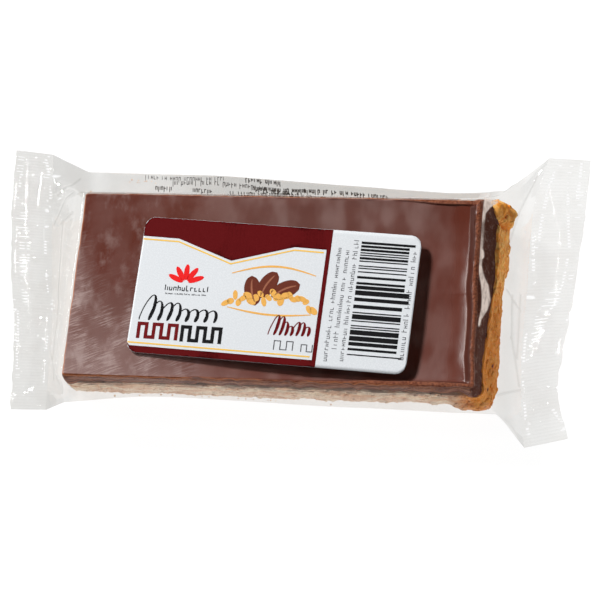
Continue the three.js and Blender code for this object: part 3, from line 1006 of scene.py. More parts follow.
# %% Strokes in groups
def stroke_row(length, height, word_lengths, seed, fill=0.9):
    """Segments (n, 4) along a row: start and end, each as a place along and a place up. Words
    follow each other closely where a random number is under fill, and after a pause elsewhere."""
    rng = np.random.default_rng(seed)
    segments, place, stroke_gap = [], 0.0, 0.42 * height
    while place < length:
        for _ in range(rng.integers(*word_lengths)):
            tall = height * rng.choice([0.66, 0.66, 1.0])
            segments.append([place, 0.0, place, tall])
            if rng.uniform() < 0.6:
                segments.append([place + stroke_gap, 0.0, place + stroke_gap, 0.66 * height])
            if rng.uniform() < 0.7:
                level = height * rng.choice([0.04, 0.34, 0.62])
                segments.append([place, level, place + stroke_gap, level])
            place += 0.78 * height
        place += height * (0.7 if rng.uniform() < fill else rng.uniform(3, 8))
    segments = np.array(segments)
    return segments[segments[:, 2] < length]


# %% [markdown]
# ## The print on the back
#
# The film's back is printed with rows of small words, and through the clear flap behind the bar
# they show in mirror writing. Here each word is a few short strokes that say nothing. They lie
# just inside the flap's lower layer, on points read off the film's own rings.

# %% Strokes on the flap
LETTER, LETTER_DEPTH, FLAP_COLUMN = 1.05, 0.12, 20
BODY = slice(TENT_ROWS + 1, TENT_ROWS + 1 + BODY_ROWS)


def flap_place(x, from_nose):
    """Points a little inside the flap's lower layer, by x and by length along it from its nose."""
    grid = (film_points - LETTER_DEPTH * normals)[BODY, UPPER_POINTS:]
    spacing = np.linalg.norm(grid[:, 1] - grid[:, 0], axis=-1).mean()
    row = np.clip(np.interp(x, grid[:, FLAP_COLUMN, 0], np.arange(len(grid))), 0, len(grid) - 1.001)
    column = np.clip(from_nose / spacing, 0, grid.shape[1] - 1.001)
    i, j = row.astype(int), column.astype(int)
    a, b = (row - i)[..., None], (column - j)[..., None]
    near = grid[i, j] * (1 - b) + grid[i, j + 1] * b
    far = grid[i + 1, j] * (1 - b) + grid[i + 1, j + 1] * b
    return near * (1 - a) + far * a


def flap_stroke(x0, d0, x1, d1, half):
    """One thin closed stroke between two places on the flap."""
    run = np.array([x1 - x0, d1 - d0])
    side = np.array([-run[1], run[0]]) / (np.linalg.norm(run) + 1e-9) * half
    x, d = np.array([x0, x1]), np.array([d0, d1])
    left, right = flap_place(x + side[0], d + side[1]), flap_place(x - side[0], d - side[1])
    lift = np.array([0, 0, 0.04])
    return np.stack([left + lift, right + lift, right, left], 1)


BACK_ROWS = [
    [-43, -20, 0.35, 0.065], [-14, -4, 0.3, 0.117], [-35, 4, 1.5, 0.078], [-12, 33, 1.6, 0.13],
    [-40, 0, 2.8, 0.104], [-4, 37, 2.9, 0.13], [-38, 38, 4.1, 0.104], [-9, 1, 2.2, 0.13],
]


def back_words():
    """Rows of strokes along the flap, bent a little where the film is gathered."""
    shapes = []
    for row, (first, last, from_nose, half) in enumerate(BACK_ROWS):
        for x0, up0, x1, up1 in stroke_row(last - first, LETTER, (2, 9), 40 + row):
            drift = 0.25 * math.sin((first + x0) / 7 + row)
            level = from_nose + drift
            shapes.append(flap_stroke(first + x0, level + up0, first + x1, level + up1, half))
    return shapes


back_print = joined_piece("back_print", back_words())

# %% [markdown]
# ## The crimped fins
#
# At each end hot jaws press the two layers together, with ribs that run out along the bar. The
# ribs are a sine wave along the fin; the fin itself is wavy, because the crimp shortens it
# unevenly, and it has folds, roofs and dents from handling. Where a rib crosses one of those it
# mirrors the sky as a short bright bead or bar. Those gleams depend on where the lights stand, so
# they are painted on as a value that the film's finish reads.
#
# The lists below place all of these on the fin laid flat: mm along it from the front, and mm
# across it from the crimp line, for both ends of each, then its height, if it has one, and its
# half width.

# %% The fins' folds, roofs and gleams
FIN_LENGTH, FIN_WIDTH, FIN_THICKNESS, FIN_LOWEST = 76.0, 11.0, 0.07, 0.25
RIB_PITCH, POINTS_PER_RIB, FIN_ROWS = 0.88, 7, 62
DENTS, DENT_DEPTH = 50, 0.3
LEFT_FOLDS = [
    [74, 7.4, 62, 7.0, 0.13, 0.5], [60, 7.0, 50, 6.8, 0.12, 0.5], [20, 6.8, 12.5, 6.2, 0.14, 0.5],
    [70, 3.0, 60, 3.8, 0.10, 0.5], [54, 9.3, 40, 9.7, 0.10, 0.4], [66, 10.2, 58, 10.0, 0.1, 0.4],
    [30, 1.2, 8, 0.9, 0.1, 0.4],
]
LEFT_ROOFS = [
    [44, 6.6, 33, 6.2, 0.30, 1.3], [32, 6.2, 23, 5.2, 0.28, 1.2], [21, 9.4, 17, 8.6, 0.33, 1.4],
    [6, 4.0, 4.5, 6.5, 0.2, 0.9], [4, 9.6, 2, 10.4, 0.2, 0.9],
]
RIGHT_FOLDS = [
    [62, 1.2, 49, 1.3, 0.14, 0.5], [69, 2.4, 56, 6.4, 0.14, 0.5], [56, 6.4, 36, 7.2, 0.14, 0.5],
    [71, 8.6, 53, 9.3, 0.12, 0.45], [32, 0.6, 12, 0.5, 0.12, 0.4], [73, 10.0, 62, 9.6, 0.12, 0.4],
    [46, 1.5, 42, 2.2, 0.14, 0.5], [30, 9.8, 20, 9.9, 0.12, 0.4],
]
RIGHT_ROOFS = [[34, 6.8, 23, 3.6, 0.62, 2.5], [10, 4.0, 5, 5.5, 0.25, 1.1], [66, 4.6, 61, 5.2, 0.22, 1.0]]
LEFT_BEADS = [
    [56, 1.9, 46, 1.7, 0.5], [74, 2.2, 70, 1.2, 0.6], [66, 0.7, 60, 0.5, 0.5], [40, 1.6, 34, 1.1, 0.3],
    [22, 0.8, 8, 1.2, 0.35], [6, 5.0, 3, 3.8, 0.5], [69, 9.0, 62, 9.6, 0.5], [28, 9.8, 12, 9.9, 0.55],
]
LEFT_BARS = [
    [56, 8.2, 52, 8.0, 2.0], [50, 8.1, 31, 7.5, 1.0], [52, 6.4, 43, 6.2, 0.5], [75, 9.4, 70, 9.6, 1.1],
    [73, 2.4, 69, 2.0, 1.0], [12, 9.6, 8, 9.2, 0.8],
]
RIGHT_BEADS = [
    [74, 2.2, 66, 2.3, 0.5], [66, 2.3, 54, 1.8, 0.5], [68, 6.6, 57, 7.8, 0.45], [57, 7.8, 51.5, 8.6, 0.45],
    [51.5, 8.6, 42, 8.1, 0.4], [42, 8.1, 34, 5.8, 0.4], [56, 0.5, 46, 1.2, 0.45], [32, 0.8, 16, 0.6, 0.45],
    [16, 0.6, 2, 1.4, 0.5], [75, 8.6, 65, 9.0, 0.5], [8, 9.0, 5, 10.6, 0.6],
]
RIGHT_BARS = [
    [39, 6.6, 33, 4.2, 2.0], [33, 4.2, 28.5, 3.2, 1.5], [75, 3.0, 71, 2.4, 1.0], [67, 9.8, 60, 9.4, 0.7],
    [74, 6.2, 69, 5.8, 0.6], [47, 9.9, 40, 9.6, 0.7],
]


# %% Folds, dents and ribs
def along_folds(points, segments):
    """Soft welts along segments: height times (1 - (distance / half width)^2)^2."""
    total = np.zeros(points.shape[:-1])
    for *ends, height, width in segments:
        roof = near_segments(points, [[*ends, width]])
        total += height * (1 - (1 - roof) ** 2) ** 2
    return total


def small_dents(points, count, depth, seed):
    """A scatter of small round dents and pimples, each a bell curve."""
    rng = np.random.default_rng(seed)
    along, across = rng.uniform(1, FIN_LENGTH - 1, count), rng.uniform(0.5, FIN_WIDTH - 0.5, count)
    middles = np.column_stack([along, across])
    radii, depths = rng.uniform(0.35, 0.6, count), depth * rng.choice([-1, 1], count)
    total = np.zeros(points.shape[:-1])
    for middle, radius, high in zip(middles, radii, depths):
        total += high * radius * np.exp(-np.sum((points[..., :2] - middle) ** 2, -1) / radius**2)
    return total


def evenly(points, shares):
    """The smooth curve through points, read at even steps of Y, so that ribs run along X."""
    dense = through(points, np.linspace(0, 1, 2000))
    y = dense[0, 1] + (dense[-1, 1] - dense[0, 1]) * shares
    return np.stack([np.interp(y, dense[:, 1], dense[:, n]) for n in range(3)], -1)


def rib_wave(flat):
    """The ribs' rise and fall along the fin, from -1 to 1."""
    return np.sin(2 * np.pi * flat[..., 0] / RIB_PITCH)


# %% Where a fin gleams
def gleams(flat, beads, bars, seed):
    """1 where glints are painted on the crimped film: beads where a rib crosses a fold, bars
    along the ribs where they cross a roof, and flecks near the cut edge and near the crimp line."""
    crest, across = rib_wave(flat), flat[..., 1]
    bead = smooth_step(2.2 * near_segments(flat, beads))
    bead = bead * smooth_step((crest + 0.1) / 0.5) * smooth_step((noise(flat, 1.5, seed) + 0.45) / 0.3)
    bar = smooth_step(3 * near_segments(flat, bars))
    broken = smooth_step((noise(flat * [1, 0.4, 1], 0.95, seed + 1) + 0.15) / 0.3)
    bar = bar * smooth_step((crest - 0.45) / 0.4) * broken
    at_edge = smooth_step((across - 8.6) / 1.6) * smooth_step((noise(flat, 6.0, seed + 2) + 0.1) / 0.4)
    at_crimp = smooth_step((2.8 - across) / 1.4) * smooth_step((noise(flat, 5.0, seed + 6) + 0.15) / 0.4)
    fleck = smooth_step((noise(flat * [1.4, 0.6, 1], 0.9, seed + 4) - 0.55) / 0.15)
    return np.clip(bead + bar + fleck * np.maximum(at_edge, at_crimp), 0, 1)


# %% The two fins
def fin_rings(inner, outer, folds, roofs, rib_height, seed):
    """Rows across the fin, from its crimp line to its cut edge, with ribs, folds and dents. Comes
    with the same rows as flat places: mm along the fin and mm across it."""
    along = np.linspace(0, 1, int(FIN_LENGTH / RIB_PITCH) * POINTS_PER_RIB)
    across = np.linspace(0, 1, FIN_ROWS)[:, None]
    start, end = evenly(inner, along), evenly(outer, along)
    sheet = start + (end - start) * across[..., None]
    flat = np.stack(np.broadcast_arrays(along * FIN_LENGTH, across * FIN_WIDTH, 0 * across), -1)
    ribs = rib_height * rib_wave(flat) * smooth_step(across * 12)
    ribs = ribs * (0.85 + 0.15 * noise(flat, 5.0, seed))
    waves = 0.28 * layered(flat * [1, 0.3, 1], 11.0, seed + 1, 2) * (0.3 + 0.7 * across)
    broken = 1 + 0.25 * noise(flat, 1.9, seed + 2)
    raised = (along_folds(flat, folds) + along_segments(flat, roofs)) * broken
    raised = raised + small_dents(flat, DENTS, DENT_DEPTH, seed + 5)
    edge = 0.25 * layered(flat[-1:], 3.0, seed + 9) * across**6
    height = ribs + waves + raised * smooth_step(across * 8)
    sheet = sheet + np.stack([np.sign(start[:1, 0]) * edge, 0 * ribs, height], -1)
    sheet[..., 2] = np.maximum(sheet[..., 2], FIN_LOWEST)
    lift = np.array([0, 0, FIN_THICKNESS / 2])
    return sheet_rings(sheet + lift, sheet - lift), sheet_rings(flat, flat)


def make_fin(name, lines, relief, beads, bars, seed):
    """One fin, with its painted glints and its ribs as values for the finish."""
    rings, flat = fin_rings(*lines, *relief, seed)
    marks = {"gleam": gleams(flat, beads, bars, seed + 20), "rib": 0.5 + 0.5 * rib_wave(flat)}
    return closed_piece(name, rings, cap="strip", values=marks, sheet=True)


left_lines, right_lines = (LEFT_INNER, LEFT_OUTER), (RIGHT_INNER, RIGHT_OUTER)
left_relief, right_relief = (LEFT_FOLDS, LEFT_ROOFS, 0.055), (RIGHT_FOLDS, RIGHT_ROOFS, 0.07)
left_fin = make_fin("end_fin_left", left_lines, left_relief, LEFT_BEADS, LEFT_BARS, 71)
right_fin = make_fin("end_fin_right", right_lines, right_relief, RIGHT_BEADS, RIGHT_BARS, 83)

# %% [markdown]
# ## The label
#
# The label is thin paper laid over the film. It is a sheet whose rows run along it, cut to a
# rounded outline; its print is made of thin sheets of ink that lie on the same surface, so every
# edge of the print is crisp from any distance.

# %% The label's surface
WRINKLE_ROOM, LABEL_LIFT, LABEL_THICKNESS = 0.2, 0.08, 0.09


def label_place(u, v, lift=0.0):
    """Label coordinates (u to the right and v up from its lower left corner) to a point."""
    x0, y0 = u - LABEL_LENGTH / 2, v - LABEL_WIDTH / 2
    x = LABEL_OFFSET[0] + x0 * math.cos(LABEL_TURN) - y0 * math.sin(LABEL_TURN)
    y = LABEL_OFFSET[1] + x0 * math.sin(LABEL_TURN) + y0 * math.cos(LABEL_TURN)
    wave = 0.1 * noise(np.stack([x, y, 0 * x], -1), 22.0, 91)
    return np.stack([x, y, FILM_TOP + WRINKLE_ROOM + LABEL_LIFT + wave + lift], -1)


def label_span(u):
    """The label's lower and upper edge at u, with its round corners."""
    from_end = np.minimum(u, LABEL_LENGTH - u)
    past = np.maximum(0, LABEL_CORNER - from_end)
    bite = LABEL_CORNER - np.sqrt(np.maximum(0, LABEL_CORNER**2 - past**2))
    return bite, LABEL_WIDTH - bite


def ink_rings(u, lower, upper, lift, thickness, rows=2):
    """A flat shape on the label between two edges over u, as a thin closed sheet."""
    share = np.linspace(0, 1, rows)[:, None]
    v = lower + (upper - lower) * share
    u_grid = np.broadcast_to(u, v.shape)
    return sheet_rings(label_place(u_grid, v, lift + thickness), label_place(u_grid, v, lift))


u = end_eased(0, LABEL_LENGTH, 140, 20)
label_rings = ink_rings(u, *label_span(u), 0.0, LABEL_THICKNESS, rows=40)
label = closed_piece("paper_label", label_rings, cap="strip", sheet=True)

# %% [markdown]
# The print is a header and a foot in maroon with a gold line beside each, a panel with a motif
# and rows that stand for words, and a panel with bars. A picture laid on the label could hold it
# all, but its edges would blur close up. So every mark is a ribbon: a path over the label with a
# width along it. A straight path of even width gives a bar, a width that swells and closes gives
# a leaf or a bean, and a looping path gives a flourish.

# %% Ribbons of ink
INK = 0.03


def turned(x, y, degrees):
    """Points (n, 2) turned about the origin."""
    a = math.radians(degrees)
    return np.stack([x * math.cos(a) - y * math.sin(a), x * math.sin(a) + y * math.cos(a)], -1)


def ribbon(path, half_width):
    """A closed sheet of ink: rings across a path of (u, v) points, as wide as asked."""
    path = np.asarray(path, float)
    half = np.broadcast_to(half_width, len(path))[:, None]
    along = np.gradient(path, axis=0)
    along /= np.linalg.norm(along, axis=1, keepdims=True) + 1e-9
    across = np.stack([-along[:, 1], along[:, 0]], -1) * half
    left, right = (path + across).T, (path - across).T
    return np.stack([
        label_place(*left, LABEL_THICKNESS + INK),
        label_place(*right, LABEL_THICKNESS + INK),
        label_place(*right, LABEL_THICKNESS),
        label_place(*left, LABEL_THICKNESS),
    ], 1)


def line(start, end, half_width, step=3.0):
    """A straight ribbon between two points."""
    start, end = np.array(start, float), np.array(end, float)
    count = max(2, int(np.linalg.norm(end - start) / step) + 2)
    return ribbon(start + (end - start) * np.linspace(0, 1, count)[:, None], half_width)


def leaf(middle, length, width, degrees, bend=0.0):
    """A ribbon that swells and closes, like a leaf, a bean or a flake."""
    t = np.linspace(0, 1, 15)
    swell = np.sqrt(np.maximum(1 - (2 * t - 1) ** 2, 1e-5)) * width / 2
    x, y = (t - 0.5) * length, bend * length * (0.25 - (t - 0.5) ** 2)
    return ribbon(turned(x, y, degrees) + middle, swell)


def area(u, lower, upper, rows=5):
    """A field of ink between two edges over u."""
    return ink_rings(u, lower, upper, LABEL_THICKNESS, INK, rows).transpose(1, 0, 2)


# %% [markdown]
# The maroon header and foot and their gold lines run along the whole first panel, and all follow
# one broken line, the header's lower edge. They could be wide ribbons, but both of their edges
# matter, so they are areas between a lower and an upper edge.

# %% The label's fields and lines
PANEL_END, STRIPE_END = 50.9, 52.0
HEADER_EDGE = np.array([[0, 32.6], [10.1, 32.5], [25.3, 27.4], [42.2, 32.5], [50.9, 32.4]])
FOOT_TOP, LINE_GAP, LINE_HALF = 1.9, 0.85, 0.2
MARGIN = 0.04


def header_edge(u):
    """The header's lower edge: level, then down to a point and up again."""
    return np.interp(u, *HEADER_EDGE.T)


def gold_lines():
    """Thin lines that follow the header and the foot at a small distance."""
    u = np.unique(np.concatenate([np.linspace(0.15, PANEL_END - 0.7, 50), HEADER_EDGE[1:4, 0]]))
    upper = area(u, header_edge(u) - LINE_GAP - LINE_HALF, header_edge(u) - LINE_GAP + LINE_HALF, 2)
    foot = np.full(len(u), FOOT_TOP + LINE_GAP)
    return [upper, area(u, foot - LINE_HALF, foot + LINE_HALF, 2)]


def maroon_fields():
    """The header, the foot and the stripe between the two panels."""
    u = np.unique(np.concatenate([end_eased(MARGIN, PANEL_END, 60, 6), HEADER_EDGE[1:4, 0]]))
    bottom, top = label_span(u)
    header = area(u, header_edge(u), top - MARGIN)
    foot = area(u, bottom + MARGIN, np.maximum(bottom + 2 * MARGIN, FOOT_TOP))
    u = np.linspace(PANEL_END - 0.02, STRIPE_END, 3)
    stripe = area(u, np.full(3, MARGIN), np.full(3, LABEL_WIDTH - MARGIN), 14)
    return [header, foot, stripe]


joined_piece("print_maroon_fields", maroon_fields())
joined_piece("print_gold_lines", gold_lines())


# %% [markdown]
# Where such a label has its name, its small print and its handwriting, this one has loops, upright
# bars and rows of strokes. They have the weight and the place of words but spell nothing.

# %% Rows that stand for words
def word_row(start, end, height, word_lengths, seed, half):
    """A row of strokes between two points of the label."""
    start, end = np.array(start, float), np.array(end, float)
    length = np.linalg.norm(end - start)
    along = (end - start) / length
    up = np.array([-along[1], along[0]])
    shapes = []
    for s0, up0, s1, up1 in stroke_row(length, height, word_lengths, seed, 1.0):
        first, last = start + along * s0 + up * up0, start + along * s1 + up * up1
        shapes.append(line(first, last, half))
    return shapes


def flourish(start, length, height, loops, degrees, talls):
    """A looping line like joined handwriting: a rolled circle, taller where talls says, leaning
    over, and thick on its way down."""
    t = np.linspace(0, loops, loops * 24)
    tall = np.interp(t, np.arange(loops + 1), talls)
    y = height * tall * (1 - np.cos(2 * np.pi * t)) / 2
    x = length * t / loops - 0.3 * length / loops * np.sin(2 * np.pi * t) + 0.3 * y
    half = 0.14 + 0.3 * np.clip(-np.sin(2 * np.pi * t), 0, 1)
    return ribbon(turned(x, y, degrees) + start, half)


def meander(start, bars, pitch, height, half, turn):
    """Upright bars joined by turns above and below, as on a key border."""
    start, a = np.array(start, float), math.radians(turn)
    right, up = np.array([math.cos(a), math.sin(a)]), np.array([-math.sin(a), math.cos(a)])
    shapes = []
    for n in range(bars):
        foot = start + right * pitch * n
        shapes.append(line(foot, foot + up * height, half))
        if n < bars - 1:
            level = foot + up * (half if n % 2 else height - half)
            shapes.append(line(level + right * half, level + right * (pitch - half), half))
    return shapes


black_ink = [flourish((2.4, 9.2), 20.5, 3.4, 8, 2.0, [2.0, 2.1, 1, 1.9, 1, 1, 1, 1, 0.9])]
black_ink += meander((14.8, 4.0), 6, 2.1, 4.6, 0.48, 1.0)
black_ink += word_row((8.3, 17.9), (20.0, 18.2), 1.5, (30, 31), 3, 0.12)
maroon_ink = [flourish((38.2, 7.9), 10.6, 2.5, 7, 2.0, [2.1, 2.2, 1.9, 1, 1, 1.9, 1, 1])]
maroon_ink += meander((2.7, 4.0), 6, 2.1, 4.6, 0.48, 1.0)
grey_ink = word_row((8.6, 16.8), (19.8, 17.1), 0.45, (3, 8), 4, 0.05)
grey_ink += meander((40.2, 3.9), 4, 1.7, 2.6, 0.13, 1.0) + meander((47.6, 3.9), 3, 1.5, 2.1, 0.13, 1.0)
for row, (first, last) in enumerate([(2.0, 33.6), (5.5, 34.0), (2.4, 35.6)]):
    u0 = 54.9 + 2.2 * row
    grey_ink += word_row((u0, first), (u0, last), 1.3, (3, 11), 20 + row, 0.085)


# %% [markdown]
# A food label shows what is inside, here beans over oat flakes between two stalks, and a red figure
# of five leaves in a fan. All of them are the leaf ribbon in different lengths and widths.

# %% The motif
def motif():
    """Cocoa beans in a fan over a drift of oat flakes, with two stalks."""
    beans, seams, flakes = [], [], []
    for degrees, u0, v0 in ((62, 36.4, 21.4), (28, 41.3, 20.3), (104, 32.6, 19.6)):
        beans.append(leaf((u0, v0), 8.4, 4.6, degrees, 0.12))
        seams.append(leaf((u0, v0), 6.6, 0.5, degrees, 0.3))
    rng = np.random.default_rng(12)
    for k in range(22):
        t = k / 21
        u0 = 25.5 + 24 * t
        v0 = 16.4 + 1.8 * math.sin(3.1 * t) + rng.uniform(-1.4, 1.4)
        flakes.append(leaf((u0, v0), rng.uniform(1.9, 2.9), rng.uniform(1.3, 1.9), rng.uniform(0, 180)))
    t = np.linspace(0, 1, 30)
    for rise, v0 in ((4.5, 24.0), (-2.2, 14.6)):
        path = np.stack([26 + 23 * t, v0 + rise * np.sin(math.pi * t) * 0.5 + rise * 0.2 * t], -1)
        flakes.append(ribbon(path, 0.12 + 0.16 * np.sin(math.pi * t)))
    return beans, seams, flakes


beans, seams, flakes_ink = motif()
red_ink = []
for degrees in (22, 56, 90, 124, 158):
    red_ink.append(leaf(np.array([13.6, 20.3]) + turned(3.0, 0.0, degrees), 4.6, 1.5, degrees, 0.06))
joined_piece("print_red", red_ink)
joined_piece("print_beans", beans)
joined_piece("print_flakes", flakes_ink)

# %% [markdown]
# The second panel carries bars, as most packed food does. Their widths are whole modules drawn at
# random from a fixed seed, so they look right and say nothing.

# %% The bars
BAR_LEFT, BAR_RIGHT, GUARD_RIGHT = 60.1, 73.2, 74.7
BAR_FOOT, MODULE, MODULES = 4.1, 0.33, 95


def bar_code():
    """Bars of one to four modules with gaps of one to three; the outer and middle ones longer."""
    rng = np.random.default_rng(77)
    shapes, place = [], 0
    while place < MODULES:
        width = min(int(rng.choice([1, 1, 1, 2, 2, 3, 4])), MODULES - place)
        guard = place < 3 or abs(place - MODULES / 2) < 3 or place > MODULES - 4
        right = GUARD_RIGHT if guard else BAR_RIGHT
        v = BAR_FOOT + MODULE * (place + width / 2)
        shapes.append(line((BAR_LEFT, v), (right, v), MODULE * width / 2))
        place += width + int(rng.choice([1, 1, 2, 3]))
    return shapes


black_ink += bar_code()
grey_ink += word_row((75.2, 4.0), (75.2, 34.0), 1.4, (5, 7), 31, 0.09)
joined_piece("print_black", black_ink)
joined_piece("print_maroon_words", maroon_ink)
joined_piece("print_grey", grey_ink)
joined_piece("print_seams", seams)

# %% [markdown]
# ## Finishes
#
# A finish is a node tree, but it reads best as arithmetic. The class below wraps a socket, so
# that +, -, * and / between sockets and numbers add Math nodes. Everything else comes from one
# method that takes a node's type, its settings and its inputs.

# %% Sockets that can be reckoned with
class Wire:
    """A node's output. Arithmetic on it adds Math nodes to the same finish."""

    def __init__(self, finish, socket):
        self.finish = finish
        self.socket = socket

    def _math(self, operation, a, b):
        return self.finish.node("ShaderNodeMath", {"operation": operation}, {0: a, 1: b})

    def __add__(self, other):
        return self._math("ADD", self, other)

    def __sub__(self, other):
        return self._math("SUBTRACT", self, other)

    def __rsub__(self, other):
        return self._math("SUBTRACT", other, self)

    def __mul__(self, other):
        return self._math("MULTIPLY", self, other)

    def __truediv__(self, other):
        return self._math("DIVIDE", self, other)

    def __rtruediv__(self, other):
        return self._math("DIVIDE", other, self)

    def __pow__(self, other):
        return self._math("POWER", self, other)

    __radd__ = __add__
    __rmul__ = __mul__

    def maximum(self, other):
        return self._math("MAXIMUM", self, other)

    def clamped(self):
        return self.finish.node("ShaderNodeClamp", {}, {"Value": self})

    def between(self, low, high):
        """0 below low, 1 above high, and a smooth S between."""
        inputs = {"Value": self, "From Min": low, "From Max": high}
        return self.finish.node("ShaderNodeMapRange", {"interpolation_type": "SMOOTHSTEP"}, inputs)


# %% [markdown]
# A finish starts as an empty node tree. The class below fills it, and its methods are named for
# what they make: a place on the object, noise, a blend of two colours, a bump, a surface.

# %% A material under construction
class Finish:
    """A material under construction."""

    def __init__(self, name):
        self.material = bpy.data.materials.new(name)
        self.material.use_nodes = True
        self.tree = self.material.node_tree
        self.tree.nodes.clear()

    def node(self, kind, settings, inputs, out=0):
        """Adds a node: its settings first, then its sockets' values or wires. Returns an output."""
        made = self.tree.nodes.new(kind)
        for key, value in settings.items():
            setattr(made, key, value)
        for key, value in inputs.items():
            socket = made.inputs[key]
            if isinstance(value, Wire):
                self.tree.links.new(value.socket, socket)
            elif socket.type == "RGBA":
                socket.default_value = (*value, 1.0)
            else:
                socket.default_value = value
        return Wire(self, made.outputs[out]) if made.outputs else None

    def place(self, turn=0.0):
        """Where on the object a point is, in mm round the bar's middle, turned about Z."""
        here = self.node("ShaderNodeTexCoord", {}, {}, "Object")
        shift = Matrix.Rotation(turn, 3, "Z") @ -Vector(BAR_MIDDLE)
        inputs = {"Vector": here, "Location": shift, "Rotation": (0, 0, turn), "Scale": (1 / MM,) * 3}
        return self.node("ShaderNodeMapping", {"vector_type": "POINT"}, inputs)

    def parts(self, vector):
        """A vector's three numbers."""
        return [self.node("ShaderNodeSeparateXYZ", {}, {0: vector}, axis) for axis in range(3)]

    def scaled(self, vector, factors):
        """A vector with each of its numbers multiplied."""
        return self.node("ShaderNodeVectorMath", {"operation": "MULTIPLY"}, {0: vector, 1: factors})

    def noise(self, vector, size, detail=2.0, roughness=0.5):
        """Noise from 0 to 1 with features of this size, in the vector's own units."""
        inputs = {"Vector": vector, "Scale": 1 / size, "Detail": detail, "Roughness": roughness}
        return self.node("ShaderNodeTexNoise", {"noise_dimensions": "3D"}, inputs)

    def blend(self, factor, a, b):
        """Colour a where the factor is 0 and b where it is 1."""
        inputs = {"Factor": factor, 6: a, 7: b}
        return self.node("ShaderNodeMix", {"data_type": "RGBA"}, inputs, 2)

    def bump(self, height, strength, distance):
        """A normal from a height; distance in mm is how tall the height 1 stands."""
        inputs = {"Height": height, "Strength": strength, "Distance": distance * MM}
        return self.node("ShaderNodeBump", {}, inputs)

    def attribute(self, name):
        """A value that the mesh carries at its points."""
        return self.node("ShaderNodeAttribute", {"attribute_name": name}, {}, "Fac")

    def surface(self, **inputs):
        """A Principled surface, with its sockets named in words."""
        named = {key.replace("_", " ").title().replace("Ior", "IOR"): value for key, value in inputs.items()}
        return self.node("ShaderNodeBsdfPrincipled", {}, named)

    def mixed(self, factor, a, b):
        """Shader a where the factor is 0 and b where it is 1."""
        return self.node("ShaderNodeMixShader", {}, {0: factor, 1: a, 2: b})

    def done(self, shader):
        """Puts the shader on the surface and gives the material back."""
        self.node("ShaderNodeOutputMaterial", {}, {"Surface": shader})
        print(f"{self.material.name}: {len(self.tree.nodes)} nodes")
        return self.material


# %% Giving pieces their finish
def dress(pieces, material):
    """Gives pieces their material."""
    for piece in pieces:
        piece.data.materials.clear()
        piece.data.materials.append(material)
